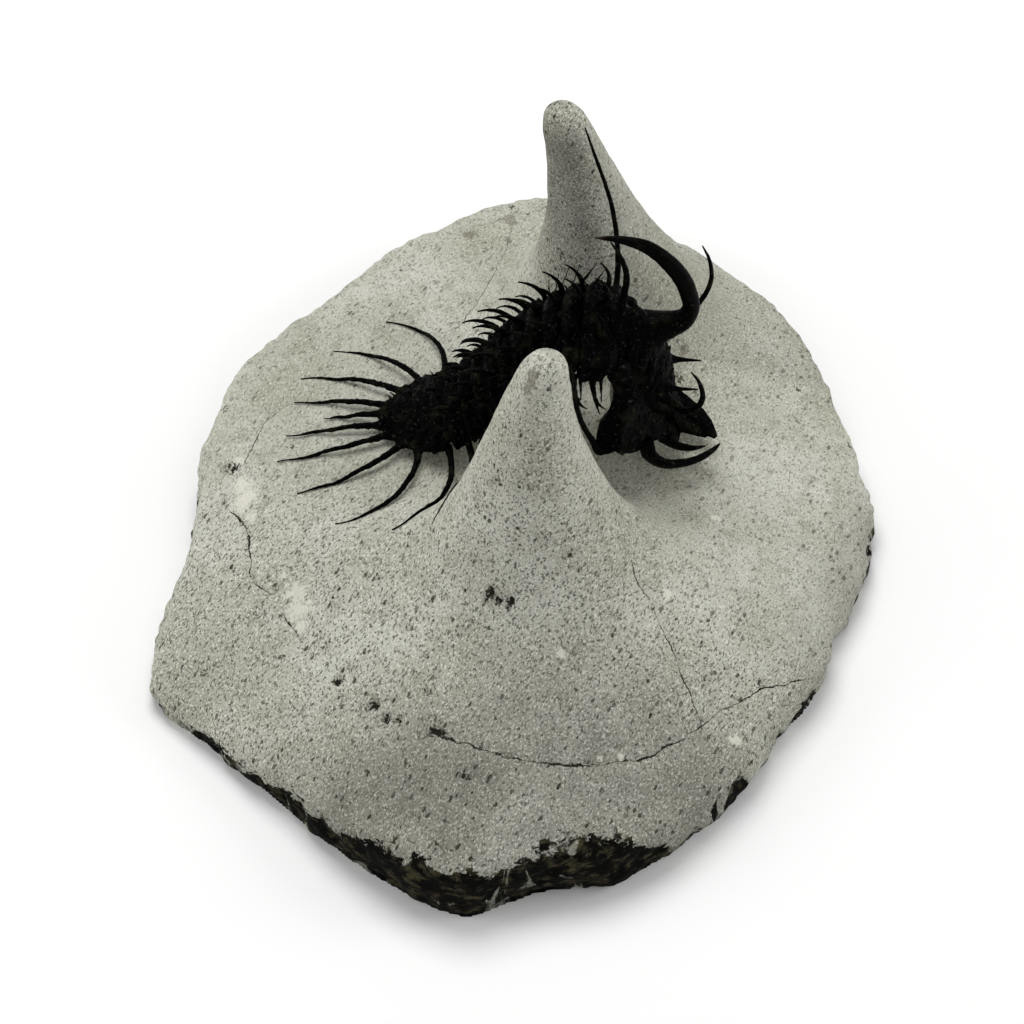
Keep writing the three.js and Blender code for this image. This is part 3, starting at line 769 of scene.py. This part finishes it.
def tail():
    bm = bmesh.new()
    add_plate(bm, 76, 130, tail_shape)
    for number, (near, far, turn, length, start, end) in enumerate(TAIL_SPINES):
        for side, distance in ((NEAR, near), (FAR, far)):
            root = on_body(distance, turn * side, -0.4)
            points = edge_spine(root, side, length, start, end, seed=number + side * 0.4)
            add_spine(bm, points, rings=110, flare=0.9, rough=0.18, seed=80 + number + side)
    point = edge_spine(on_body(1, 0, -0.7), FAR, TAIL_POINT, 0, 0, seed=5)
    add_spine(bm, point, rings=50, rough=0.14, seed=90)
    add_thornlets(bm, ((1.5, TAIL_SHIELD - 0.6), (0.05, 0.9)), TAIL_THORNLETS, 400)
    return bm


# ---------- head ----------
# Spines and blades as points of lengthwise, sideways, height and radius.
HORN = [
    (11.4, 0, 39.4, 2.7), (14.6, 0, 40.9, 2.05), (17.2, 0, 42.6, 1.5), (18.1, 0, 45, 1.22),
    (17.6, 0, 48, 1.25), (16.6, 0, 50.7, 1.25), (15.1, 0, 53, 1.2), (13.3, 0, 55, 1.05),
    (11.2, 0, 56.45, 0.9), (8.9, 0, 57.1, 0.66), (6.6, 0, 57.3, 0.4), (4.4, 0, 57.2, SPINE_TIP),
]
NECK_SPINE = [
    (7.9, 0, 42.2, 0.85), (8.7, 0, 46.5, 0.56), (8.9, 0, 50.5, 0.44), (8, 0, 54, 0.3),
    (6.6, 0, 56.6, SPINE_TIP),
]
FAR_CHEEK_SPINE = [
    (8.6, 10.4, 27.6, 1.3), (7, 11.8, 26.6, 1), (6.5, 13.1, 30.6, 0.56), (6.6, 15.6, 37, 0.42),
    (5.5, 18.6, 43.5, 0.34), (4.3, 19.9, 47.2, 0.3), (2.4, 21.2, 52.2, 0.24),
    (0.8, 22.5, 56.3, SPINE_TIP),
]
NEAR_CHEEK_SPINE = [
    (8.6, -10.4, 27.6, 1.2), (6.9, -11.8, 26.8, 0.8), (5.6, -12.6, 29.9, 0.45),
    (4.5, -13.6, 33.7, 0.4), (3.7, -14.8, 38.6, 0.36), (3.4, -15.8, 42.4, 0.32),
    (3.3, -17, 46.9, 0.24), (2.8, -18.6, 51.6, SPINE_TIP),
]
FAR_BROW_HOOK = [
    (13.6, 2.6, 37.4, 0.9), (17.2, 4.8, 38.2, 0.45), (19.7, 5.8, 41.6, 0.38), (20.5, 6, 45, 0.34),
    (20, 6, 48.8, 0.24), (19, 6, 51.2, SPINE_TIP),
]
NEAR_BROW_HOOK = [
    (13.8, -3, 30.4, 1), (16.6, -3.9, 29, 0.65), (18.2, -4.9, 28.7, 0.52), (19.8, -5.6, 30.2, 0.47),
    (20.7, -6, 33.1, 0.41), (20.1, -6, 36.2, 0.28), (18.9, -6, 38.2, SPINE_TIP),
]
BROW_SPINE = [(14.4, 2.4, 31.2, 0.95), (16.6, 2.8, 31, 0.42), (19.9, 2.8, 31.2, SPINE_TIP)]
NEAR_OUTER_BLADE = [
    (12.8, -6.8, 24, 0.8), (13.8, -7.3, 21.2, 0.8), (15.8, -6.9, 19.3, 0.72),
    (18.2, -5.9, 18.5, 0.62), (20.6, -4.3, 18, 0.5), (22.4, -2.2, 17.6, 0.36),
    (23.4, -0.6, 17.4, SPINE_TIP),
]
FAR_OUTER_BLADE = [
    (12.8, 6.8, 24, 0.7), (13.6, 7, 21.4, 0.66), (14.8, 6.2, 19.6, 0.62), (17, 5.2, 18.5, 0.6),
    (19.4, 3.8, 18, 0.52), (21.4, 2, 17.6, 0.36), (22.8, 0.6, 17.4, SPINE_TIP),
]
INNER_BLADE = [
    (15.4, 2, 19.4, 0.8), (17.2, 2.2, 18.1, 0.6), (19.4, 1.9, 17.4, 0.45),
    (21.4, 0.9, 17, SPINE_TIP),
]
BLADE_LEAN = math.radians(-48)
EYE_AT = (8.7, 6, 37)
EYE_SIZE = (1.8, 1.45, 2.4)
LENS_ROW = 13
LENSES_ROUND = 16

# How far the head's rear edge stands forward of the neck, by the turn from its middle to the
# cheek's corner.
REAR_EDGE = [
    (0, 0), (0.22, 0), (0.3, 0.4), (0.38, 0.3), (0.46, 1.2), (0.52, 1.1), (0.6, 0.6), (0.7, -0.5),
    (0.8, -0.7), (1, -0.7),
]


def head_shape(t, turn, depth):
    """Shape of the head shield: neck ring, swollen middle lobe with side furrows, cheeks with
    a furrow and a rolled rim along their lower edge, and warts all over."""
    side = np.abs(turn)
    along = (BODY - NECK) * t + read(REAR_EDGE, side) * (1 - t) ** 3
    lobe_edge = 0.27 + 0.1 * ease(along, 4, 16)
    lobe = 1 - ease(side, lobe_edge - 0.06, lobe_edge + 0.03)
    neck_ring = 0.5 * hump(along, 1.1, 1.4) * (1 - ease(side, 0.4, 0.55))
    neck_furrow = -0.45 * hump(along, 2.7, 0.8) * (1 - ease(side, 0.5, 0.9))
    swell = 0.45 * lobe * ease(along, 2.8, 6)
    bites = sum(hump(along - 2.2 * (0.3 - side), at, 0.75) for at in (5.6, 8.6, 11.8))
    bites = -0.5 * bites * ease(side, 0.12, 0.2) * lobe
    axial = -0.55 * hump(side, lobe_edge + 0.04, 0.06) * ease(along, 1, 3)
    rim = 0.45 * hump(side, 0.955, 0.05) - 0.4 * hump(side, 0.87, 0.05)
    rear_rim = 0.4 * hump(along, 0.5, 0.8) * ease(side, 0.4, 0.6)
    spots = on_body(along + NECK, turn, 0, HEAD)
    edge = np.minimum(1, 8 * np.minimum(t, 1 - t)) * np.minimum(1, 10 * (1 - side))
    form = neck_ring + neck_furrow + swell + bites + axial + rim + rear_rim
    relief = form + skin(spots, 0.42, 0.14, 0.34, 11) + 0.3 * lumps(spots, 3.4, 17)
    return on_body(along + NECK, turn, relief * (1 - depth) * edge - depth * HEAD_SHELL, HEAD)


def other_side(points, side):
    return [(a, side * b, c, r) for a, b, c, r in points]


def add_eye(bm, side):
    """A tall eye: a smooth lid over a drum of round lenses in rows, on a warty foot."""
    part = bmesh.new()
    bmesh.ops.create_uvsphere(part, u_segments=72, v_segments=48, radius=1)
    plain = corners(part)
    turn = np.arctan2(plain[:, 1], plain[:, 0])
    height = plain[:, 2]
    drum = ease(height, -0.6, -0.45) * (1 - ease(height, 0.42, 0.55))
    rows = height * LENS_ROW
    set_over = math.pi * (np.floor(rows / math.pi) % 2)
    lens = np.clip(np.cos(turn * LENSES_ROUND + set_over) * np.abs(np.sin(rows)), 0, 1)
    swell = 1 + 0.09 * np.sqrt(lens) * drum - 0.08 * drum + 0.05 * ease(height, 0.5, 0.62)
    swell += 0.05 * lumps(plain, 0.35, 5) * (1 - drum)
    spread = np.array(EYE_SIZE) * plain * swell[:, None]
    spread[:, 1] *= side
    pour(part, place(np.array([EYE_AT[0], side * EYE_AT[1], EYE_AT[2]]) + spread), bm)


def head():
    bm = bmesh.new()
    add_plate(bm, 150, 230, head_shape)
    add_spine(bm, HORN, sides=32, rings=96, rough=0.02, flare=0.15, seed=1)
    add_spine(bm, NECK_SPINE, sides=14, rings=44, rough=0.12, seed=2)
    add_spine(bm, FAR_BROW_HOOK, sides=14, rings=44, seed=3)
    add_spine(bm, NEAR_BROW_HOOK, sides=14, rings=44, seed=4)
    for side, cheek, outer, wide in (
        (NEAR, NEAR_CHEEK_SPINE, NEAR_OUTER_BLADE, 2), (FAR, FAR_CHEEK_SPINE, FAR_OUTER_BLADE, 3.2),
    ):
        add_spine(bm, cheek, sides=14, rings=64, rough=0.1, seed=6 + side)
        add_spine(bm, other_side(BROW_SPINE, side), rings=24, flare=1.0, seed=9 + side)
        blade = {"roll": side * BLADE_LEAN, "rough": 0.05, "flare": 0.1}
        add_spine(bm, outer, sides=24, rings=44, wide=wide, seed=12 + side, **blade)
        inner = other_side(INNER_BLADE, side)
        add_spine(bm, inner, sides=16, rings=28, wide=2.2, seed=15 + side, **blade)
        add_eye(bm, side)
    return bm


def mark_horn(shell):
    """Notes how far along the horn each place of the head is: 0 off it, 1 at its tip."""
    spots = spots_of(shell.data) / MM
    line = through(HORN)[::4]
    middle, radius = place(line[:, :3]), line[:, 3]
    away = np.linalg.norm(spots[:, None] - middle[None], axis=2) - radius[None] * 1.1
    nearest = np.argmin(away, axis=1)
    on_horn = away[np.arange(len(spots)), nearest] < 0.35
    note(shell.data, "horn", np.where(on_horn, np.linspace(0, 1, len(line))[nearest], 0))


# ---------- stone ----------
EDGE = through([*OUTLINE, OUTLINE[0]], 12)[:-1]
EDGE_TURN = np.arctan2(EDGE[:, 1], EDGE[:, 0])
EDGE_OUT = np.hypot(EDGE[:, 0], EDGE[:, 1])


def rim(turn):
    """The outline's distance from the middle in a direction, and the edge's height there."""
    return [
        np.interp(turn, EDGE_TURN, values, period=2 * math.pi) for values in (EDGE_OUT, EDGE[:, 2])
    ]


def flank(rings):
    """A pillar's outline as a smooth line of radius and height, its foot carried on downward."""
    (low, wide, *_), (next_low, next_wide, *_) = rings[0], rings[1]
    foot = (low - 8, wide + (wide - next_wide) / (next_low - low) * 12)
    return through([(foot[1], 0, foot[0])] + [(r[1], 0, r[0]) for r in rings])


def pillar_middle(height, rings):
    return [read(rings, height, column) for column in (2, 3, 4)]


def pillar_height(x, y, rings, top):
    """Height of a pillar's flank over each place, up to top."""
    line = flank(rings)
    low, high = np.full(x.shape, line[0, 2]), np.full(x.shape, top)
    for _ in range(14):
        height = (low + high) / 2
        middle_x, middle_y, far = pillar_middle(height, rings)
        across = (y - middle_y) / np.where(y > middle_y, far, 1)
        inside = np.hypot(x - middle_x, across) < np.interp(height, line[:, 2], line[:, 0])
        low, high = np.where(inside, height, low), np.where(inside, high, height)
    return low


def higher(a, b, soft):
    """The higher of two heights, blended where they cross."""
    near = np.clip(1 - np.abs(a - b) / soft, 0, 1)
    return np.maximum(a, b) + soft * near ** 2 / 4


def dome(x, y):
    reach, edge = rim(np.arctan2(y, x))
    out = np.minimum(1, np.hypot(x, y) / reach)
    return edge + (DOME_TOP - edge) * (1 - out ** DOME_ROUNDNESS)


def top_of_stone(x, y):
    """Height of the dome with the feet of both pillars flowing into it."""
    x, y = np.atleast_1d(np.asarray(x, float)), np.atleast_1d(np.asarray(y, float))
    feet = higher(pillar_height(x, y, NEAR_PILLAR, 36), pillar_height(x, y, REAR_PILLAR, 30), 3)
    return higher(dome(x, y), feet, 2.6)


def surface(x, y):
    return float(top_of_stone(x, y)[0])


# Rings of the block from the middle of its base round its broken edge:
# share of the outline, and share of the edge height.
BLOCK_RINGS = [(0, 0), (0.5, 0), (0.985, 0), (1, 0.3), (0.995, 0.9), (0.98, 1.0)]
BLOCK_ROWS = 150
PILLAR_ROWS = 60


def add_turned(bm, around, rows, shape):
    """A closed body turned round an axis: shape(turn, row) gives the place of a corner."""
    part = bmesh.new()
    bmesh.ops.create_grid(part, x_segments=around, y_segments=rows, size=0.5)
    plain = corners(part)
    pour(part, shape((plain[:, 0] + 0.5) * 2 * math.pi, (plain[:, 1] + 0.5) * rows), bm)


def block_shape(turn, row):
    wall = np.array(BLOCK_RINGS)
    lower = len(BLOCK_RINGS) - 1
    row = np.rint(row).astype(int)
    ring = np.minimum(row, lower)
    inward = np.clip((row - lower) / (BLOCK_ROWS - lower), 0, 1)
    reach, edge = rim(turn)
    radius = wall[ring, 0] * (1 - inward) * reach
    x, y = radius * np.cos(turn), radius * np.sin(turn)
    height = np.where(row < lower, wall[ring, 1] * edge, top_of_stone(x, y))
    return np.column_stack([x, y, height])


def pillar_shape(rings):
    line = through([(r[1], 0, r[0]) for r in rings])
    steps = walked(line)

    def shape(turn, row):
        along = np.clip((row - 1) / (PILLAR_ROWS - 1), 0, 1) * steps[-1]
        radius = np.where(row < 0.5, 0, np.interp(along, steps, line[:, 0]))
        height = np.interp(along, steps, line[:, 2])
        middle_x, middle_y, far = pillar_middle(height, rings)
        far = np.where(np.sin(turn) > 0, far, 1)
        x, y = middle_x + radius * np.cos(turn), middle_y + radius * np.sin(turn) * far
        return np.column_stack([x, y, height])

    return shape


# Stone inside the hollow shell, which carries the arch: distance, depth under the shell's
# face, how far it hangs below the shell's edges.
CORE = [
    (3.6, SHELL + 0.5, 4), (TAIL_SHIELD, SHELL + 0.5, 5), (16, SHELL + 0.4, 5),
    (22, SHELL + 0.4, 0.2), (NECK - 0.5, SHELL + 0.4, 0),
]
HEAD_CORE = [(NECK + 0.2, 6.5, -2), (NECK + 12, 6.5, 0)]


def core_shape(rows, section):
    def shape(t, turn, depth):
        distance = rows[0][0] + (rows[-1][0] - rows[0][0]) * t
        top = on_body(distance, turn, -table(rows, distance, 1), section)
        x, z, _, up_x, up_z = station(distance, section)
        rise = -table(section, distance, 2) - table(rows, distance, 2)
        low = np.stack([x + up_x * rise, top[:, 1] * 0.98, z + up_z * rise], axis=-1)
        return top * (1 - depth)[:, None] + low * depth[:, None]

    return shape


# The short neck of stone between the dome and the hollow of the head: its middle, its radius
# at foot and top, its height, and its depth as a share of its width.
POST_AT = (10.5, 2, 21)
POST_FOOT, POST_TOP = 4.4, 3.4
POST_HEIGHT = 18
POST_DEPTH = 0.8


def add_post(bm):
    part = bmesh.new()
    bmesh.ops.create_cone(
        part, cap_ends=True, segments=32, radius1=POST_FOOT, radius2=POST_TOP, depth=POST_HEIGHT,
    )
    pour(part, place(corners(part) * (POST_DEPTH, 1, 1) + POST_AT), bm)


# Cracks across the dome: x, y and half-width.
CRACKS = {
    "front_crack": [
        (-13.8, -42.3, 0.05), (-13.1, -42, 0.25), (-12, -41.3, 0.45), (-10.9, -41.7, 0.36),
        (-9.9, -42.6, 0.34), (-8.8, -43.6, 0.1), (-7.4, -43.9, 0.06), (-6.1, -44.7, 0.1),
        (-3.3, -45.5, 0.08), (-1.5, -45.9, 0.2), (0.8, -46.4, 0.06), (3.5, -46.7, 0.1),
        (6.2, -46.7, 0.13), (9.7, -46.6, 0.15), (13.1, -45.7, 0.1), (16.6, -44.7, 0.16),
        (18.7, -43.7, 0.11), (20.1, -42.4, 0.12), (22.2, -41.1, 0.06), (23.6, -40.4, 0.01),
    ],
    "right_crack": [
        (23.2, -40.2, 0.01), (23.9, -39.6, 0.1), (25.3, -38.5, 0.08), (26.8, -37.1, 0.05),
        (28.2, -35.7, 0.08), (30.1, -34.3, 0.09), (32.3, -32.5, 0.09), (34.6, -30.5, 0.08),
        (37.6, -29.2, 0.08), (41, -27.2, 0.08),
    ],
    "hairline": [
        (15.8, -18.1, 0.02), (16.3, -19.7, 0.07), (17, -20.9, 0.07), (18.3, -22.7, 0.02),
        (19.1, -24.9, 0.03), (19.9, -26.3, 0.07), (21.8, -29.8, 0.08), (22.6, -32.4, 0.07),
        (23.7, -34.8, 0.08), (25.3, -38.7, 0.05),
    ],
    "left_hairline": [
        (-32.5, 20.1, 0.02), (-34.7, 19.2, 0.06), (-37.7, 16.9, 0.07), (-38.6, 14.7, 0.09),
        (-39.7, 11.9, 0.04), (-40.5, 9.5, 0.05),
    ],
    "left_crack": [
        (-42.3, 1.6, 0.03), (-40.9, -0.2, 0.13), (-39.7, -2.5, 0.15), (-38.9, -6.6, 0.11),
        (-38.6, -9.5, 0.05), (-38.8, -11.3, 0.12), (-38.1, -13.7, 0.05), (-36.6, -15.4, 0.11),
        (-35.1, -16.7, 0.14), (-34.3, -15.9, 0.1), (-33.6, -14.9, 0.03),
    ],
    "left_chip": [(-33.9, -19.5, 0.03), (-32.7, -21.5, 0.12), (-30.9, -24.2, 0.03)],
    "rear_crack": [
        (-0.5, 57.1, 0.02), (-2.1, 49.4, 0.03), (-4.4, 42.2, 0.04), (-8.1, 34.4, 0.05),
        (-11.8, 29.1, 0.02),
    ],
}

# Holes and open flaws, pale calcite patches and brown-grey stains: x, y and radius.
HOLES = [
    (-42.2, 9, 1.5), (-25.3, -31.8, 1), (-20.3, -36.5, 1.5), (-18.4, -38.6, 1), (-16.6, -39.3, 0.8),
    (-13, -35.6, 0.8), (-1.5, -45.9, 0.5), (-7.9, -48.8, 0.6), (-7, -49.1, 0.5),
    (33.9, -30.1, 0.7), (29, -29.7, 0.6), (25.9, -32, 0.5), (-4.1, -25, 1.1), (-2.7, -26, 0.9),
    (-1.4, -26.4, 1),
]
PALE_PATCHES = [
    (-40.6, 5.4, 1.6), (-39.9, 2.4, 2.4), (-38.6, -1.4, 1.1), (-31.3, -16.8, 2.5),
    (-31.2, -19.8, 2.2), (-30.8, -22.4, 1.2), (-38.2, -6.8, 0.8), (-33.6, -13.6, 0.9),
    (5.9, -31.9, 0.9), (28.4, -4, 0.8), (20.7, -21.2, 0.95), (10.8, -38.8, 0.5), (30, -39.2, 1.2),
    (13.8, -44.9, 0.55), (11, -45.4, 0.5), (16.6, -43.8, 0.5), (-41.6, 10, 1),
]
STAINS = [
    (24.4, 25.8, 0.9), (-1.6, 51.9, 0.7), (-7.5, 53.8, 1.4), (-1.3, 57.1, 1.6), (1.5, -14.5, 1.1),
]

# Share of the broken edge's height that is still covered by dark rind, round the block.
RIND = [
    (-180, 0.5), (-168, 0.3), (-155, 0.3), (-143, 0.5), (-138, 0.85), (-120, 0.8), (-110, 1),
    (-74, 1), (-69, 0.3), (-62, 0.15), (-60, 0.9),
    (-54, 0.9), (-52, 0.2), (-38, 0.12), (-36, 0.8), (-33, 0.8), (-31, 0.2), (-6, 0.3), (-2, 0.85),
    (4, 0.6), (20, 0.4), (60, 0.75), (90, 0.85), (120, 0.8), (150, 0.6), (180, 0.5),
]

# Size of the stone's facets, and how far its skin may reach out in x, y and upward.
STONE_GRAIN = 0.5
STONE_REACH = (52.95, 63.45, 57.8)
# A crack's distance where none is near, and its greatest.
NO_CRACK, FAR_FROM_CRACK = 1e3, 60


def crack_field(spots, line, seed):
    """Distance from a crack in shares of its half-width and in millimetres, both signed for
    the side of it."""
    at = spots[:, :2]
    closest = np.full(len(at), NO_CRACK)
    signed = np.full(len(at), NO_CRACK)
    wide = np.full(len(at), 0.01)
    for (*start, wide0), (*end, wide1) in zip(line, line[1:]):
        step = np.subtract(end, start)
        t = np.clip((at - start) @ step / (step @ step), 0, 1)
        gap = at - start - t[:, None] * step
        away = np.linalg.norm(gap, axis=1)
        side = np.where(step[0] * gap[:, 1] > step[1] * gap[:, 0], 1, -1)
        closer = away < closest
        closest = np.where(closer, away, closest)
        signed = np.where(closer, side * away, signed)
        wide = np.where(closer, wide0 + (wide1 - wide0) * t, wide)
    away = signed + (0.2 * lumps(at, 1.7, seed) + 0.1 * lumps(at, 0.7, seed + 1))
    return away / wide, away


def spot_field(spots, marks, ragged, seed):
    """How far inside round marks each place is, from 1 in their middle down to below 0."""
    inside = np.full(len(spots), -1.0)
    uneven = ragged * (lumps(spots, 1.1, seed) + 0.6 * lumps(spots, 0.5, seed + 1))
    for x, y, radius in marks:
        away = np.hypot(spots[:, 0] - x, spots[:, 1] - y)
        inside = np.maximum(inside, 1 - away / radius)
    return np.clip(inside + uneven, -1, 1)


def shade_and_grain_fields(spots):
    """Shares of darker ground and of coarse grain: the front slope, the shaded left face of the
    rear pillar, and, for the first, the stone to the right of it.  On the rear pillar the darker
    tone is painted shade; towards the front and the right the ground is simply darker."""
    x, y, z = spots.T
    beside = x - read([(20, 13.1), (57, 6)], z)
    # painted shade over the rear pillar's left face, fading out near its top
    pillar_shade = ease(z, 22, 40) * (1 - 0.6 * ease(z, 52, 57)) * ease(y, 23, 27) * (1 - ease(beside, 0, 5))
    front = 0.8 * ease(-y - 0.25 * np.abs(x - 8), 22, 46)
    # darker ground to the right, and painted shade on the rear pillar's right side
    right = 0.6 * ease(x - 0.4 * y, 42, 56) + 0.3 * ease(beside, 1, 5) * ease(y, 24, 27)
    blotch = 1 + 0.3 * lumps(spots, 9, 81) + 0.2 * lumps(spots, 3.5, 82)
    dull_ground_and_shade = np.clip(np.maximum.reduce([front, 0.85 * pillar_shade, right]) * blotch, 0, 1)
    return dull_ground_and_shade, np.maximum(ease(-y - 0.35 * x, 0, 22), ease(pillar_shade, 0, 0.4))


def rind_field(spots, turn, out, edge):
    """How far below the rind's upper border each place is, and no rind up on the dome."""
    z = spots[:, 2]
    below = read(RIND, np.degrees(turn)) * edge - z
    below = below + 1.3 * lumps(spots, 3.4, 41) + 0.5 * lumps(spots, 1.2, 42)
    return np.where(out > 0.9, below + 0.8 * lumps(spots, 9, 43), np.where(z < 1, 2, -4))


def rough_stone(mesh):
    """Weathers the block's skin, breaks its edge and notes where cracks, stains and painted shade
    run.
    """
    spots, outward = spots_of(mesh), spots_of(mesh, "normal")
    x, y, z = spots.T
    turn = np.arctan2(y, x)
    reach, edge = rim(turn)
    out = np.hypot(x, y) / reach
    broken = ease(out, 0.93, 0.985) * ease(-z / edge, -1.25, -0.8)

    swell = 0.3 * lumps(spots, 15, 21) + 0.12 * lumps(spots, 6, 22) + 0.07 * lumps(spots, 2.3, 23)
    grit = 0.035 * lumps(spots, 1.1, 24)
    steps = 0.8 * lumps(spots, 6.5, 31) + 0.6 * np.abs(lumps(spots, 2.9, 32))
    steps = steps + 0.3 * lumps(spots, 1.3, 33)
    push = (swell + grit) * (1 - broken) + (steps - 0.35) * broken

    marks = {"rind": rind_field(spots, turn, out, edge)}
    upper = z > 2.5
    for seed, (name, line) in enumerate(CRACKS.items()):
        field, away = crack_field(spots, line, 50 + seed)
        near = upper & (np.abs(field) < FAR_FROM_CRACK)
        field = np.where(upper, field, FAR_FROM_CRACK)
        marks[name] = np.clip(field, -FAR_FROM_CRACK, FAR_FROM_CRACK)
        depth = np.clip(0.16 + 1.2 * np.abs(away / np.where(field == 0, 1, field)), 0, 0.7)
        push -= np.where(near, depth * np.exp(-(away / (0.3 + depth * 0.5)) ** 2), 0)
    marks["hole"] = spot_field(spots, HOLES, 0.3, 61)
    marks["pale"] = spot_field(spots, PALE_PATCHES, 0.35, 63)
    marks["stain"] = spot_field(spots, STAINS, 0.5, 65)
    marks["dull_ground_and_shade"], marks["coarse"] = shade_and_grain_fields(spots)
    push -= 0.55 * ease(marks["hole"], 0.1, 0.7)
    push += 0.1 * ease(marks["pale"], 0, 0.6)

    flat = z < 0.12
    spots = spots + outward * np.where(flat, 0, push)[:, None]
    spots[:, 2] = np.where(flat, 0, np.maximum(spots[:, 2], 0))
    spots = np.clip(spots, np.negative(STONE_REACH), STONE_REACH)
    mesh.vertices.foreach_set("co", spots.ravel())
    for name, values in marks.items():
        note(mesh, name, values)
    mesh.update()


def one_skin(bm):
    """Joins the block's parts into one even skin and rubs it smooth."""
    holder = put("rough_block", mesh_of(bm, "rough_block"))
    remesh = holder.modifiers.new("one_skin", "REMESH")
    remesh.mode = "VOXEL"
    remesh.voxel_size = STONE_GRAIN
    bpy.context.view_layer.update()
    ready = holder.evaluated_get(bpy.context.evaluated_depsgraph_get())
    whole = bpy.data.meshes.new_from_object(ready)
    bpy.data.objects.remove(holder)
    bm = bmesh.new()
    bm.from_mesh(whole)
    axes = {"use_axis_x": True, "use_axis_y": True, "use_axis_z": True}
    for _ in range(3):
        bmesh.ops.smooth_vert(bm, verts=bm.verts, factor=0.5, **axes)
    bm.to_mesh(whole)
    bm.free()
    return whole


def stone():
    bm = bmesh.new()
    add_turned(bm, 500, BLOCK_ROWS, block_shape)
    add_turned(bm, 96, PILLAR_ROWS, pillar_shape(NEAR_PILLAR))
    add_turned(bm, 96, PILLAR_ROWS, pillar_shape(REAR_PILLAR))
    add_plate(bm, 60, 30, core_shape(CORE, TRUNK))
    add_plate(bm, 24, 20, core_shape(HEAD_CORE, HEAD))
    add_post(bm)
    bmesh.ops.remove_doubles(bm, verts=bm.verts, dist=0.001)
    bmesh.ops.recalc_face_normals(bm, faces=bm.faces)
    whole = one_skin(bm)
    rough_stone(whole)
    bm = bmesh.new()
    bm.from_mesh(whole)
    bpy.data.meshes.remove(whole)
    base = [f for f in bm.faces if all(v.co.z == 0 for v in f.verts)]
    bmesh.ops.delete(bm, geom=base, context="FACES")
    bmesh.ops.holes_fill(bm, edges=[e for e in bm.edges if e.is_boundary], sides=0)
    return bm


# ---------- the pieces ----------
SHELL_FINISH = black_calcite()
STONE_FINISH = limestone()

for number in range(1, SEGMENTS + 1):
    name = f"thorax_segment_{number:02d}"
    piece(name + "_shell", thorax_segment(number), SHELL_FINISH, name)
piece("tail_shield_shell", tail(), SHELL_FINISH, "pygidium")
mark_horn(piece("head_shield_shell", head(), SHELL_FINISH, "cephalon"))
piece("stone_block", stone(), STONE_FINISH, "matrix")

# ---------- floor, light and camera, in metres ----------
FLOOR = 3.0
CAMERA_AIM = Vector((-1, -6, 18)) * MM
CAMERA_HEIGHT = math.radians(50)
CAMERA_AWAY = 500 * MM
CAMERA_LENS = 123.05

# Lamps: where they stand, what they point at, their width and their power.
LAMPS = {
    "soft_overhead": ((-0.06, 0.24, 0.55), (0, 0, 0), 0.4, 2.12),
    "soft_right": ((0.5, 0, 0.22), (0, 0, 0.02), 0.3, 0.8),
    "soft_left": ((-0.5, -0.05, 0.22), (0, 0, 0.02), 0.3, 0.7),
    "soft_front": ((0.06, -0.55, 0.32), (0, 0, 0.02), 0.3, 0.34),
}
SKY = "#f6f7f8"
SKY_STRENGTH = 0.4


def pale_paper():
    """Plain white paper: matt and even."""
    material, add, _ = new_material("white_paper")
    shader = add("BsdfPrincipled", {"Base Color": colour("#fdfdfc"), "Roughness": 0.95})
    add("OutputMaterial", {"Surface": shader})
    return material


def add_floor():
    bm = bmesh.new()
    bmesh.ops.create_grid(bm, x_segments=1, y_segments=1, size=FLOOR / 2)
    floor = put("floor", mesh_of(bm, "floor"))
    floor.data.materials.append(pale_paper())


def stand(name, data, at, facing):
    """Puts a lamp or the camera in its place, facing that way."""
    made = put(name, data)
    made.location = at
    made.rotation_euler = facing.to_track_quat("-Z", "Y").to_euler()
    return made


def add_lamps():
    for name, (at, aim, size, power) in LAMPS.items():
        lamp = bpy.data.lights.new(name, "AREA")
        lamp.shape = "DISK"
        lamp.size = size
        lamp.energy = power
        stand(name, lamp, at, Vector(aim) - Vector(at))


def add_sky():
    sky = bpy.data.worlds.new("studio")
    sky.use_nodes = True
    light = sky.node_tree.nodes["Background"].inputs
    light["Color"].default_value = colour(SKY)
    light["Strength"].default_value = SKY_STRENGTH
    bpy.context.scene.world = sky
    bpy.context.scene.view_settings.view_transform = "Standard"


def add_camera():
    lens = bpy.data.cameras.new("camera")
    lens.lens = CAMERA_LENS
    lens.clip_start = 0.01
    back = Vector((0, -math.cos(CAMERA_HEIGHT), math.sin(CAMERA_HEIGHT)))
    bpy.context.scene.camera = stand("camera", lens, CAMERA_AIM + back * CAMERA_AWAY, -back)


add_floor()
add_lamps()
add_sky()
add_camera()
